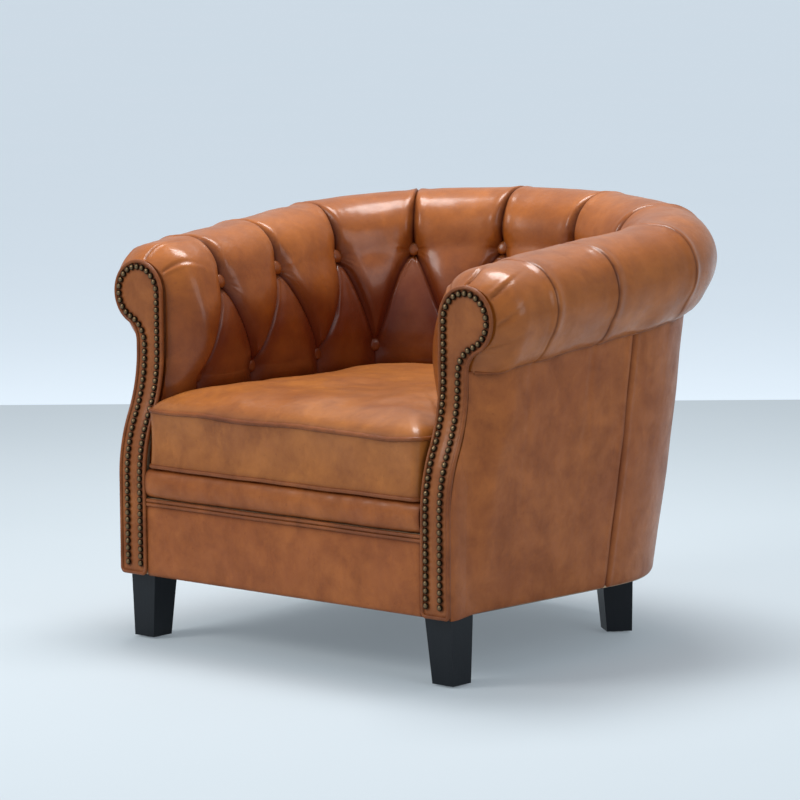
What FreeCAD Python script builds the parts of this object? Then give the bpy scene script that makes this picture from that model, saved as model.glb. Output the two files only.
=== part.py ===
"""Deep-buttoned leather tub armchair: frame, springs, padding, covers, nails and loose cushion.

Millimetres, +Z up. The sitter faces -Y, and left means the sitter's left, which is +X.
Pieces are drawn with Y = 0 at the front of the arm facings. On export they move so that the
origin is on the floor, at the centre of the chair's footprint.
"""
import FreeCAD, Part
import math
import os

Vector = FreeCAD.Vector

# Heights
UNDERSIDE_Z = 105.0
FRONT_RAIL_TOP_Z = 229.0
SIDE_RAIL_TOP_Z = 225.0
SEAT_Z = 277.0

# Roll over arms and back: its centre line in plan, and its slope towards the back
HEAD_Z = 548.0
ROLL_CORNER = (137.0, 430.0)
ROLL_CORNER_RADIUS = 235.0
ROLL_REAR_Y = 712.0
ROLL_FRONT_Z = HEAD_Z + 1.0
ROLL_SLOPE = 0.104
ARM_SPLAY = math.radians(2.6)
ROLL_RADIUS = 69.5
PLEAT_DEPTH = 4.0

# Bottom edge of the outside covers in plan, drawn in under the roll
BASE_CORNER = (ROLL_CORNER[0] - 36.0, ROLL_CORNER[1] - 30.0)
BASE_CORNER_RADIUS = ROLL_CORNER_RADIUS + 12.0
BASE_REAR_Y = ROLL_REAR_Y - 28.0

# Arm facings: scroll head, stem, and the sweep back from the foot to the head
HEAD_X = 338.5
HEAD_RADIUS = 52.5
FACING_INNER_X = HEAD_X - HEAD_RADIUS
STEM_WIDTH = 57.0
STEM_OUTER_X = FACING_INNER_X + STEM_WIDTH
NECK_RADIUS = 6.0
FOOT_RADIUS = 8.0
SWEEP_START_Z = 260.0
SWEEP_END_Z = 458.0
SWEEP_BACK = 43.0
WELT_RADIUS = 3.2
FACING_THICKNESS = 8.0
POST_THICKNESS = 25.0
POST_COVERED = 8.0
POST_OUTER_X = STEM_OUTER_X - 15.0

# Dome nails
NAIL_RADIUS = 5.2
NAIL_HEIGHT = 3.2
NAIL_PITCH = 11.3
NAIL_INSET = 11.3
NAIL_STEM_INSET = 18.5
NAIL_NECK_RADIUS = 16.0
NAIL_FIRST_Z = UNDERSIDE_Z + NAIL_INSET
NAIL_SHANK_RADIUS = 0.8
NAIL_SHANK_LENGTH = 11.0

# Deep buttoning: pleats along the roll, measured from the middle of the back
PLEATS = (93.0, 276.0, 478.0, 653.0, 792.0)
UPPER_BUTTON_INSET = (68.0, 70.0, 82.0, 90.0, 90.0)
UPPER_BUTTON_DROP = (28.0, 26.0, 16.0, 4.0, 0.0)
LOWER_BUTTON_Z = 413.0
LOWER_BUTTON_SLOPE = 0.03
DIAGONAL_RISE = 9.0
BUTTON_RADIUS = 9.5
BUTTON_HEIGHT = 7.0

# Seat well inside the padding, and the padding's back and foot
WELL_HALF_WIDTH = 265.0
WELL_TOP_Z = 400.0
PAD_FOOT_Z = SIDE_RAIL_TOP_Z + 3.0
PAD_BACK_INSET = 14.0
PAD_OVER_RAIL = 1.3
SEAM_OUT = 18.0
SEAM_DROP = 75.0
SWELL_LENGTH = 46.0
PLATFORM_CLEARANCE = 2.5

# Covers and frame
LEATHER = 2.0
WALL_TOP_OUT = 17.0
WALL_TOP_DROP = 76.5
WALL_NECK_X = STEM_OUTER_X + LEATHER
WALL_SHOULDER_Y = 150.0
PANEL_SEAM_Y = 368.0
PANEL_SEAM_LEAN = 0.055
RAIL_THICKNESS = 22.0
TOP_RAIL_THICKNESS = 24.0
TOP_RAIL_HEIGHT = 56.0
TOP_RAIL_DROP = 42.0
ARM_RAIL_TURN_IN = 30.0
TACK_RAIL_THICKNESS = 10.0
TACK_RAIL_HEIGHT = 30.0
TACK_RAIL_OUT = 1.0
TACK_RAIL_RISE = 6.0
UPRIGHT_THICKNESS = 16.0
UPRIGHT_WIDTH = 40.0
STRAP_THICKNESS = 1.2
STRAP_WIDTH = 50.0
FIT = 0.5

# Depths behind the front: the facing's face, the post's front and the post's back
FACING_FRONT_Y = 1.0
POST_FRONT_Y = FACING_FRONT_Y + FACING_THICKNESS + FIT
POST_BACK_Y = POST_FRONT_Y + POST_THICKNESS

# Loose cushion
CUSHION_GAP = 0.3
CUSHION_FRONT_Y = -2.0
CUSHION_FRONT_HALF = FACING_INNER_X - 3.5
CUSHION_CLEARANCE = 3.0
CUSHION_FRONT_CORNER = 28.0
CUSHION_EAR_Y = 48.0
CUSHION_EAR_END_Y = 100.0
BOXING_HEIGHT = 89.0
BOXING_WAIST = 5.0
CROWN = 46.0
PIPING_RADIUS = 3.8
ZIP_HALF_ANGLE = math.radians(26.0)
ZIP_WIDTH = 8.0
SLIDER_ANGLE = math.radians(24.0)

# Feet
FOOT_SIZE = 41.0
FOOT_TOP_SIZE = 51.0
GLIDE_HEIGHT = 3.0
GLIDE_RADIUS = 12.0
FRONT_FOOT = (STEM_OUTER_X - 31.0, 41.0)
REAR_FOOT_ANGLE = math.radians(46.3)
REAR_FOOT_INSET = 54.6
REAR_FOOT = (BASE_CORNER[0] + (BASE_CORNER_RADIUS - REAR_FOOT_INSET) * math.cos(REAR_FOOT_ANGLE),
             BASE_CORNER[1] + (BASE_CORNER_RADIUS - REAR_FOOT_INSET) * math.sin(REAR_FOOT_ANGLE))
REAR_FOOT_TURN = 38.0
BOLT_RADIUS = 4.0
WASHER_RADIUS = 2.4 * BOLT_RADIUS
WASHER_THICKNESS = 1.6
NUT_RADIUS = 1.6 * BOLT_RADIUS
NUT_HEIGHT = 6.5
BOLT_IN_FOOT = 32.0
BLOCK_HEIGHT = 64.0

# Seat front between the facings
FRONT_HALF = FACING_INNER_X - 1.0
BORDER_FRONT_Y = 3.5
DOUBLE_WELT_Z = FRONT_RAIL_TOP_Z - 9.8
LIP_FRONT_Y = -3.0
LIP_REAR_Y = 60.0

# Springs under the seat
SPRING_X = (-200.0, -100.0, 0.0, 100.0, 200.0)
SPRING_WIDTH = 50.0
SPRING_PITCH = 36.0
SPRING_WIRE = 1.9

HESSIAN = 1.5
FLOOR_COVER = 1.0


def smooth(value):
    """Ease from 0 to 1 with level ends."""
    value = min(max(value, 0.0), 1.0)
    return value * value * (3.0 - 2.0 * value)


def mix(low, high, share):
    return low + (high - low) * share


class TubLine:
    """Plan line of the tub: two arms, two corner arcs and a back arc, all tangent."""

    def __init__(self, corner, corner_radius, rear_y, splay):
        self.x, self.y = corner
        self.radius = corner_radius
        self.splay = splay
        reach = rear_y - corner_radius
        self.back_y = (reach ** 2 - self.x ** 2 - self.y ** 2) / (2.0 * (reach - self.y))
        self.back_radius = rear_y - self.back_y
        self.join = math.atan2(self.y - self.back_y, self.x)

    def back_point(self, angle, out):
        radius = self.back_radius + out
        return radius * math.cos(angle), self.back_y + radius * math.sin(angle)

    def corner_point(self, angle, out):
        radius = self.radius + out
        return self.x + radius * math.cos(angle), self.y + radius * math.sin(angle)

    def arm_start(self, out):
        """Where the corner arc ends and the straight arm begins."""
        return self.corner_point(-self.splay, out)

    def arm_point(self, y, out):
        x0, y0 = self.arm_start(out)
        return x0 + (y - y0) * math.tan(self.splay), y

    def lengths(self):
        """Length from the middle of the back to the end of its arc, and of the corner arc."""
        back = self.back_radius * (math.pi / 2 - self.join)
        corner = self.radius * (self.join + self.splay)
        return back, back + corner

    def at(self, length):
        """Plan point and outward direction at a length from the middle of the back."""
        back, bend = self.lengths()
        if length <= back:
            angle = math.pi / 2 - length / self.back_radius
            x, y = self.back_point(angle, 0.0)
        elif length <= bend:
            angle = self.join - (length - back) / self.radius
            x, y = self.corner_point(angle, 0.0)
        else:
            angle = -self.splay
            x, y = self.arm_start(0.0)
            x -= (length - bend) * math.sin(self.splay)
            y -= (length - bend) * math.cos(self.splay)
        return x, y, math.cos(angle), math.sin(angle)

    def length_at_y(self, y):
        """Length from the middle of the back to the arm point at this Y."""
        bend = self.lengths()[1]
        return bend + (self.arm_start(0.0)[1] - y) / math.cos(self.splay)

    def inward_to(self, x, y, nx, ny):
        """Distance from a plan point, going inward, to this line."""
        def to_arc(centre_y, centre_x, radius):
            dx, dy = x - centre_x, y - centre_y
            along = dx * nx + dy * ny
            reach = along - math.sqrt(along ** 2 - dx ** 2 - dy ** 2 + radius ** 2)
            return reach, math.atan2(dy - ny * reach, dx - nx * reach)

        x0, y0 = self.arm_start(0.0)
        if y <= y0:
            across = (x - x0) * math.cos(self.splay) - (y - y0) * math.sin(self.splay)
            return across / (nx * math.cos(self.splay) - ny * math.sin(self.splay))
        reach, angle = to_arc(self.back_y, 0.0, self.back_radius)
        if angle >= self.join:
            return reach
        return to_arc(self.y, self.x, self.radius)[0]

    def bend_pieces(self, out):
        """Corner, back and corner arcs as three point triples, from right to left."""
        middle = (self.join - self.splay) / 2
        corner = [self.corner_point(a, out) for a in (-self.splay, middle, self.join)]
        back = [self.back_point(a, out) for a in (self.join, math.pi / 2, math.pi - self.join)]
        other = [(-x, y) for x, y in reversed(corner)]
        return [corner, back, other]

    def pieces(self, out, front, shoulder=None):
        """The whole line from the +X arm's front round to the -X arm's front."""
        arm = [front]
        if shoulder is not None:
            arm.append(self.arm_point(shoulder, out))
        arm.append(self.arm_start(out))
        right = [[arm[i], arm[i + 1]] for i in range(len(arm) - 1)]
        left = [[(-b[0], b[1]), (-a[0], a[1])] for a, b in reversed(right)]
        return right + self.bend_pieces(out) + left


ROLL = TubLine(ROLL_CORNER, ROLL_CORNER_RADIUS, ROLL_REAR_Y, ARM_SPLAY)
BASE = TubLine(BASE_CORNER, BASE_CORNER_RADIUS, BASE_REAR_Y, ARM_SPLAY)
WELL = TubLine(ROLL_CORNER, WELL_HALF_WIDTH - ROLL_CORNER[0],
               ROLL.back_y + ROLL.back_radius - ROLL_CORNER_RADIUS + WELL_HALF_WIDTH
               - ROLL_CORNER[0], 0.0)


def roll_z(y):
    """Height of the roll's centre above a plan point."""
    return ROLL_FRONT_Z + ROLL_SLOPE * (y - SWEEP_BACK)


def rail_shift(y):
    """How far the arm's top rail has turned in towards the post at this Y."""
    rear = ROLL.arm_start(0.0)[1]
    if y >= rear:
        return 0.0
    return ARM_RAIL_TURN_IN * (rear - y) / (rear - SWEEP_BACK)


def pad_back(length, z):
    """Offset from the roll's centre line to the padding's back, at a height."""
    x, y, nx, ny = ROLL.at(abs(length))
    foot = -BASE.inward_to(x, y, nx, ny) - PAD_BACK_INSET
    top = -TOP_RAIL_THICKNESS / 2 - STRAP_THICKNESS - 3.0 * FIT - rail_shift(y)
    top_z = roll_z(y) - TOP_RAIL_DROP
    return mix(foot, top, (z - PAD_FOOT_Z) / (top_z - PAD_FOOT_Z))


def edges_of(pieces, height):
    """Lines and arcs through plan points, lifted to height(y)."""
    edges = []
    for piece in pieces:
        points = [Vector(x, y, height(y)) for x, y in piece]
        if len(points) == 2:
            edges.append(Part.LineSegment(*points).toShape())
        else:
            edges.append(Part.Arc(*points).toShape())
    return edges


def backwards(pieces):
    return [list(reversed(piece)) for piece in reversed(pieces)]


def strip_wire(outer, inner, height):
    """Closed wire between an outer and an inner line that run the same way."""
    caps = [[outer[-1][-1], inner[-1][-1]], [inner[0][0], outer[0][0]]]
    pieces = outer + [caps[0]] + backwards(inner) + [caps[1]]
    return Part.Wire(edges_of(pieces, height))


def level(z):
    return lambda y: z


def box_between(low, high):
    size = [h - l for l, h in zip(low, high)]
    return Part.makeBox(size[0], size[1], size[2], Vector(*low))


def mirrored(shape):
    return shape.mirror(Vector(0, 0, 0), Vector(1, 0, 0))


def prism(points, low_z, high_z):
    """Upright prism over a plan polygon."""
    corners = [Vector(x, y, low_z) for x, y in points]
    face = Part.Face(Part.makePolygon(corners + corners[:1]))
    return face.extrude(Vector(0, 0, high_z - low_z))


def arm_strip(line, out, inside, front_y, low_z, high_z):
    """Upright board along the +X arm, between two offsets of the plan line."""
    points = [line.arm_point(front_y, out), line.arm_start(out),
              line.arm_start(inside), line.arm_point(front_y, inside)]
    return prism(points, low_z, high_z)


def bend_strip(line, out, inside, low_z, high_z):
    """Upright curved board round the corners and the back."""
    wire = strip_wire(line.bend_pieces(out), line.bend_pieces(inside), level(low_z))
    return Part.Face(wire).extrude(Vector(0, 0, high_z - low_z))


def roll_slab(low, high):
    """Slab between two planes that follow the roll's slope, at heights off its centre."""
    reach = 2.0 * ROLL_REAR_Y
    corners = [Vector(-reach, y, roll_z(y) + dz)
               for y, dz in ((-reach, low), (reach, low), (reach, high), (-reach, high))]
    face = Part.Face(Part.makePolygon(corners + corners[:1]))
    return face.extrude(Vector(2.0 * reach, 0, 0))


# The facings' side line: upright, swept back by two equal arcs, then upright again

SWEEP_HALF = (SWEEP_END_Z - SWEEP_START_Z) / 2.0
SWEEP_RADIUS = (SWEEP_HALF ** 2 + (SWEEP_BACK / 2) ** 2) / SWEEP_BACK
SWEEP_ANGLE = math.asin(SWEEP_HALF / SWEEP_RADIUS)


def sweep_point(depth, angle, upper):
    """Point (y, z) at a depth behind the front face, on the lower or the upper arc."""
    if upper:
        radius = SWEEP_RADIUS + depth
        return (SWEEP_BACK - SWEEP_RADIUS + radius * math.cos(angle),
                SWEEP_END_Z - radius * math.sin(angle))
    radius = SWEEP_RADIUS - depth
    return SWEEP_RADIUS - radius * math.cos(angle), SWEEP_START_Z + radius * math.sin(angle)


def sweep_pieces(depth, low_z, high_z):
    """Side line from low_z to high_z as lines and arcs of (y, z) points."""
    half = SWEEP_ANGLE / 2
    lower = [sweep_point(depth, a, False) for a in (0.0, half, SWEEP_ANGLE)]
    upper = [sweep_point(depth, a, True) for a in (SWEEP_ANGLE, half, 0.0)]
    return [[(depth, low_z), lower[0]], lower, upper,
            [upper[-1], (SWEEP_BACK + depth, high_z)]]


def side_edges(pieces, x):
    edges = []
    for piece in pieces:
        points = [Vector(x, y, z) for y, z in piece]
        maker = Part.LineSegment if len(points) == 2 else Part.Arc
        edges.append(maker(*points).toShape())
    return edges


def sweep_slab(front_depth, rear_depth, low_z, high_z):
    """Everything between two depths behind the facings' front, over the chair's width."""
    reach = 500.0
    front = sweep_pieces(front_depth, low_z, high_z)
    rear = sweep_pieces(rear_depth, low_z, high_z)
    pieces = front + [[front[-1][-1], rear[-1][-1]]] + backwards(rear)
    pieces.append([rear[0][0], front[0][0]])
    face = Part.Face(Part.Wire(side_edges(pieces, -reach)))
    return face.extrude(Vector(2.0 * reach, 0, 0))


def before_depth(depth):
    """Everything in front of a depth: used to end pieces against facing or post."""
    reach = 100.0
    top_z = roll_z(ROLL_REAR_Y) + 2.0 * ROLL_RADIUS
    pieces = sweep_pieces(depth, -reach, top_z)
    pieces.append([pieces[-1][-1], (-reach, top_z)])
    pieces.append([(-reach, top_z), (-reach, -reach)])
    pieces.append([(-reach, -reach), (depth, -reach)])
    face = Part.Face(Part.Wire(side_edges(pieces, -500.0)))
    return face.extrude(Vector(1000.0, 0, 0))


def sweep_at(z):
    """Y of the facings' front at a height, and its lean back in radians."""
    if z <= SWEEP_START_Z:
        return 0.0, 0.0
    if z >= SWEEP_END_Z:
        return SWEEP_BACK, 0.0
    if z <= SWEEP_START_Z + SWEEP_HALF:
        lean = math.asin((z - SWEEP_START_Z) / SWEEP_RADIUS)
        return SWEEP_RADIUS * (1 - math.cos(lean)), lean
    lean = math.asin((SWEEP_END_Z - z) / SWEEP_RADIUS)
    return SWEEP_BACK - SWEEP_RADIUS * (1 - math.cos(lean)), lean


def scroll_pieces(inner_x, outer_x, head_radius, neck_radius, bottom_z, foot_radius):
    """Front outline of a scroll panel as lines and arcs of (x, z) points, closed."""
    neck_x = outer_x + neck_radius
    reach = head_radius + neck_radius
    neck_z = HEAD_Z - math.sqrt(reach ** 2 - (neck_x - HEAD_X) ** 2)
    neck_angle = math.atan2(neck_z - HEAD_Z, neck_x - HEAD_X)

    def head(angle):
        return HEAD_X + head_radius * math.cos(angle), HEAD_Z + head_radius * math.sin(angle)

    def neck(angle):
        return neck_x + neck_radius * math.cos(angle), neck_z + neck_radius * math.sin(angle)

    start = math.acos(max(-1.0, (inner_x - HEAD_X) / head_radius))
    step = (start - neck_angle) / 4
    turn = math.pi + neck_angle
    side_x = foot_radius * (1 - math.cos(math.pi / 4))
    low = bottom_z + foot_radius
    pieces = [[(inner_x, low), head(start)],
              [head(start), head(start - step), head(start - 2 * step)],
              [head(start - 2 * step), head(start - 3 * step), head(neck_angle)],
              [neck(turn), neck((turn + math.pi) / 2), neck(math.pi)],
              [(outer_x, neck_z), (outer_x, low)],
              [(outer_x, low), (outer_x - side_x, bottom_z + side_x),
               (outer_x - foot_radius, bottom_z)],
              [(outer_x - foot_radius, bottom_z), (inner_x + foot_radius, bottom_z)],
              [(inner_x + foot_radius, bottom_z), (inner_x + side_x, bottom_z + side_x),
               (inner_x, low)]]
    return pieces


def facing_outline(inset):
    """Edge of the +X facing, moved in by an inset."""
    inner_x = FACING_INNER_X + inset
    return scroll_pieces(inner_x, STEM_OUTER_X - inset, HEAD_RADIUS - inset,
                         NECK_RADIUS + inset, UNDERSIDE_Z + inset, FOOT_RADIUS - inset / 2)


def scroll_prism(pieces, rear_y):
    edges = []
    for piece in pieces:
        points = [Vector(x, -50.0, z) for x, z in piece]
        maker = Part.LineSegment if len(points) == 2 else Part.Arc
        edges.append(maker(*points).toShape())
    return Part.Face(Part.Wire(edges)).extrude(Vector(0, rear_y + 50.0, 0))


def make_facing():
    """Padded scroll panel that hides the arm's front."""
    outline = scroll_prism(facing_outline(2.0 * WELT_RADIUS + 0.1), 200.0)
    slab = sweep_slab(FACING_FRONT_Y, FACING_FRONT_Y + FACING_THICKNESS,
                      UNDERSIDE_Z, roll_z(ROLL_REAR_Y))
    return outline.common(slab)


def make_post():
    """Hardwood scroll post behind the facing, with the cover tacked round its edge."""
    pieces = scroll_pieces(FACING_INNER_X + POST_COVERED, POST_OUTER_X,
                           HEAD_RADIUS - POST_COVERED, 2.0 * POST_COVERED,
                           UNDERSIDE_Z + FLOOR_COVER, 1.0)
    slab = sweep_slab(POST_FRONT_Y, POST_BACK_Y, UNDERSIDE_Z, roll_z(ROLL_REAR_Y))
    return scroll_prism(pieces, 200.0).common(slab)


def make_welt():
    """Leather-covered cord round the facing's edge, in one closed loop."""
    pieces = facing_outline(WELT_RADIUS)
    inner_x = pieces[0][0][0]
    outer_x = pieces[4][0][0]
    head_y = SWEEP_BACK + WELT_RADIUS
    low_z = pieces[0][0][1]
    inner = side_edges(sweep_pieces(WELT_RADIUS, low_z, pieces[0][1][1]), inner_x)
    outer_side = sweep_pieces(WELT_RADIUS, low_z, pieces[4][0][1])
    outer = side_edges(backwards(outer_side), outer_x)

    def flat(chosen, y):
        edges = []
        for piece in chosen:
            points = [Vector(x, y, z) for x, z in piece]
            maker = Part.LineSegment if len(points) == 2 else Part.Arc
            edges.append(maker(*points).toShape())
        return edges

    path = Part.Wire(inner + flat(pieces[1:4], head_y) + outer + flat(pieces[5:], WELT_RADIUS))
    start = Vector(inner_x, WELT_RADIUS, low_z)
    ring = Part.Wire(Part.makeCircle(WELT_RADIUS, start, Vector(0, 0, 1)))
    return path.makePipeShell([ring], True, False)


def nail_places():
    """Points and lean of the nails, at an even pitch along their loop."""
    pieces = scroll_pieces(FACING_INNER_X + NAIL_INSET, STEM_OUTER_X - NAIL_STEM_INSET,
                           HEAD_RADIUS - NAIL_INSET, NAIL_NECK_RADIUS, UNDERSIDE_Z,
                           FOOT_RADIUS)[:5]
    edges = []
    for piece in pieces:
        points = [Vector(x, 0, z) for x, z in piece]
        maker = Part.LineSegment if len(points) == 2 else Part.Arc
        edges.append(maker(*points).toShape())
    flat = Part.Wire(edges).discretize(Distance=1.0)
    loop = []
    for point in flat:
        if point.z >= NAIL_FIRST_Z:
            y, lean = sweep_at(point.z)
            loop.append((Vector(point.x, y, point.z), lean))
    total = sum((b[0] - a[0]).Length for a, b in zip(loop, loop[1:]))
    count = int(round(total / NAIL_PITCH))
    pitch = total / count
    places = [loop[0]]
    run = 0.0
    for a, b in zip(loop, loop[1:]):
        run += (b[0] - a[0]).Length
        if run >= pitch * len(places) - 0.5 and len(places) <= count:
            places.append(b)
    return places


def make_nails():
    """Dome nails in one loop, each a cap on a shank driven into the post."""
    sphere = (NAIL_RADIUS ** 2 + NAIL_HEIGHT ** 2) / (2.0 * NAIL_HEIGHT)
    half = math.asin(NAIL_RADIUS / sphere) / 2
    top = Vector(0, 0, NAIL_HEIGHT)
    rim = Vector(NAIL_RADIUS, 0, 0)
    crest = Vector(sphere * math.sin(half), 0, NAIL_HEIGHT - sphere * (1 - math.cos(half)))
    neck = Vector(NAIL_SHANK_RADIUS, 0, 0)
    tip = Vector(NAIL_SHANK_RADIUS, 0, -NAIL_SHANK_LENGTH)
    end = Vector(0, 0, -NAIL_SHANK_LENGTH)
    edges = [Part.Arc(top, crest, rim).toShape()]
    corners = [rim, neck, tip, end, top]
    edges += [Part.LineSegment(a, b).toShape() for a, b in zip(corners, corners[1:])]
    nail = Part.Face(Part.Wire(edges)).revolve(Vector(0, 0, 0), Vector(0, 0, 1), 360)
    nails = []
    for place, lean in nail_places():
        outward = Vector(0, -math.cos(lean), math.sin(lean))
        turn = FreeCAD.Rotation(Vector(0, 0, 1), outward)
        copy = nail.copy()
        copy.Placement = FreeCAD.Placement(place - outward * 1.0, turn)
        nails.append(copy)
    return Part.makeCompound(nails)


# Buttoned padding: one lofted swell between each two pleats


def pleat_values(length):
    """Inset and drop of the upper buttons, read along the row at this length."""
    stops = [(0.0, UPPER_BUTTON_INSET[0], UPPER_BUTTON_DROP[0])]
    stops += list(zip(PLEATS, UPPER_BUTTON_INSET, UPPER_BUTTON_DROP))
    stops.append((2.0 * PLEATS[-1], UPPER_BUTTON_INSET[-1], UPPER_BUTTON_DROP[-1]))
    for low, high in zip(stops, stops[1:]):
        if low[0] <= length <= high[0]:
            share = (length - low[0]) / (high[0] - low[0])
            return mix(low[1], high[1], share), mix(low[2], high[2], share)
    return stops[-1][1], stops[-1][2]


def well_inset(length):
    """Distance from the roll's centre line in to the seat well, at a length."""
    bend = ROLL.lengths()[1]
    if length <= bend:
        return ROLL_CORNER_RADIUS + ROLL_CORNER[0] - WELL_HALF_WIDTH
    x = ROLL.at(length)[0]
    return (x - WELL_HALF_WIDTH) / math.cos(ARM_SPLAY)


def lower_button_z(y):
    return LOWER_BUTTON_Z + LOWER_BUTTON_SLOPE * y


def swell_keys(length, phase):
    """Corner points (out, z) of the padding's section; phase 0 at a pleat, 1 midway."""
    y = ROLL.at(length)[1]
    z = roll_z(y)
    radius = ROLL_RADIUS - PLEAT_DEPTH * (1 - phase) ** 2
    inset, drop = pleat_values(length)
    well = well_inset(length)
    crease = mix(inset, well, phase) + 4.0 * DIAGONAL_RISE * phase * (1 - phase)
    crease_z = mix(z - drop, lower_button_z(y), phase)
    shoulder = mix(0.72 * inset, max(inset, well) + 10.0, phase)
    shoulder_z = z + mix(0.55, -0.70, phase) * radius
    outer = back_keys(length)[-1][0]
    return [(SEAM_OUT, z - SEAM_DROP), (radius, z), (0.0, z + radius),
            (-shoulder, shoulder_z), (-crease, crease_z), (-well, WELL_TOP_Z),
            (-well, PAD_FOOT_Z)] + back_keys(length) + [(outer, z - SEAM_DROP + 3.0)]


def back_keys(length):
    """Hidden corners of the padding: up its back and over the top rail."""
    y = ROLL.at(length)[1]
    over_z = roll_z(y) - TOP_RAIL_DROP + PAD_OVER_RAIL
    outer = TOP_RAIL_THICKNESS / 2 + FIT - rail_shift(y)
    return [(pad_back(length, PAD_FOOT_Z), PAD_FOOT_Z), (pad_back(length, over_z), over_z),
            (outer, over_z)]


def head_keys(length):
    """The same corner points where the padding starts, flush with the facing's edge."""
    x, y = ROLL.at(length)[:2]
    centre = HEAD_X - x
    radius = HEAD_RADIUS - 2.0
    inner = HEAD_RADIUS - centre - 2.0
    outer = back_keys(length)[-1][0]
    return [(centre + 8.0, HEAD_Z - radius + 1.0), (centre + radius, HEAD_Z),
            (centre, HEAD_Z + radius), (-inner, HEAD_Z),
            (-inner, mix(HEAD_Z, WELL_TOP_Z, 0.6)), (-inner, WELL_TOP_Z),
            (-inner, PAD_FOOT_Z)] + back_keys(length) + [(outer, HEAD_Z - radius + 4.0)]


def section(length, keys, phase):
    """Closed wire of the padding's section, square to the roll at this length."""
    x, y, nx, ny = ROLL.at(abs(length))
    side = -1.0 if length < 0 else 1.0

    def place(point):
        out, z = point
        return Vector(side * (x + nx * out), y + ny * out, z)

    def arc(a, b, rise):
        """Arc from a to b that stands out from its chord by rise, on the left going up."""
        chord = (b[0] - a[0], b[1] - a[1])
        size = math.hypot(*chord)
        middle = ((a[0] + b[0]) / 2 + chord[1] / size * rise,
                  (a[1] + b[1]) / 2 - chord[0] / size * rise)
        return Part.Arc(place(a), place(middle), place(b)).toShape()

    def level_rise(top, other):
        """Rise that makes an arc start level at its top point."""
        across = abs(top[0] - other[0])
        down = abs(top[1] - other[1])
        return math.hypot(across, down) / 2 * math.tan(math.atan2(down, across) / 2)

    seam, side_point, top, shoulder, crease, well = keys[:6]
    edges = [arc(seam, side_point, 13.0),
             arc(side_point, top, level_rise(top, side_point)),
             arc(top, shoulder, level_rise(top, shoulder)),
             arc(shoulder, crease, mix(3.0, 7.0, phase)),
             arc(crease, well, mix(20.0, 1.0, phase))]
    corners = [place(k) for k in keys[5:] + keys[:1]]
    edges += [Part.LineSegment(a, b).toShape() for a, b in zip(corners, corners[1:])]
    return Part.Wire(edges)


def make_swell(low, high):
    """One padded swell between two pleats of the roll."""
    wires = []
    for share in (0.0, 0.25, 0.5, 0.75, 1.0):
        length = mix(low, high, share)
        phase = 1.0 - abs(2.0 * share - 1.0)
        wires.append(section(length, swell_keys(abs(length), phase), phase))
    return Part.makeLoft(wires, True, False)


def make_front_swell():
    """The swell between facing and first pleat: it starts as small as the facing."""
    first = PLEATS[-1]
    last = ROLL.length_at_y(0.0)
    start_y = SWEEP_BACK + FACING_THICKNESS
    wires = []
    grown_y = start_y + SWELL_LENGTH
    stops = [ROLL.at(first)[1], grown_y + 0.8 * SWELL_LENGTH, grown_y + 0.4 * SWELL_LENGTH]
    stops += [mix(start_y, grown_y, share) for share in (1.0, 0.75, 0.5, 0.25, 0.0)]
    for y in stops + [0.0]:
        length = min(ROLL.length_at_y(y), last)
        phase = min((length - first) / 48.0, 1.0)
        grown = smooth((y - start_y) / SWELL_LENGTH)
        keys = [(mix(h[0], s[0], grown), mix(h[1], s[1], grown))
                for h, s in zip(head_keys(length), swell_keys(length, phase))]
        wires.append(section(length, keys, phase * grown))
    swell = Part.makeLoft(wires[:-2], True, False)
    end = Part.makeLoft(wires[-2:], True, True)
    return swell.fuse(end)


def button_places(upper):
    """Plan lengths, heights and insets of one row of buttons, from -X round to +X."""
    places = []
    if upper:
        for length, inset, drop in zip(PLEATS, UPPER_BUTTON_INSET, UPPER_BUTTON_DROP):
            z = roll_z(ROLL.at(length)[1]) - drop
            places += [(length, inset, z), (-length, inset, z)]
        return places
    stops = (-PLEATS[0],) + PLEATS + (ROLL.length_at_y(SWEEP_BACK),)
    for low, high in zip(stops, stops[1:]):
        length = (low + high) / 2
        z = lower_button_z(ROLL.at(length)[1])
        places.append((length, well_inset(length), z))
        if length > 1.0:
            places.append((-length, well_inset(length), z))
    return places


def make_buttons():
    """Leather-covered buttons drawn into the padding."""
    sphere = (BUTTON_RADIUS ** 2 + BUTTON_HEIGHT ** 2) / (2.0 * BUTTON_HEIGHT)
    ball = Part.makeSphere(sphere, Vector(0, 0, BUTTON_HEIGHT - sphere))
    button = ball.common(Part.makeCylinder(BUTTON_RADIUS + 1.0, BUTTON_HEIGHT))
    buttons = []
    for upper in (True, False):
        for length, inset, z in button_places(upper):
            x, y, nx, ny = ROLL.at(abs(length))
            side = -1.0 if length < 0 else 1.0
            tip = 0.30 if upper else 0.05
            inward = Vector(-side * nx, -ny, tip)
            copy = button.copy()
            place = Vector(side * (x - nx * (inset - 1.0)), y - ny * (inset - 1.0), z)
            copy.Placement = FreeCAD.Placement(
                place, FreeCAD.Rotation(Vector(0, 0, 1), inward))
            buttons.append(copy)
    return Part.makeCompound(buttons)


# Outside covers


def wall_wire(line, out, front, shoulder, height):
    """Closed wire of the leather's thickness along a whole plan line."""
    outer = line.pieces(out, front, shoulder)
    inner = line.pieces(out - LEATHER, (front[0] - LEATHER, front[1]), shoulder)
    return strip_wire(outer, inner, height)


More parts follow.
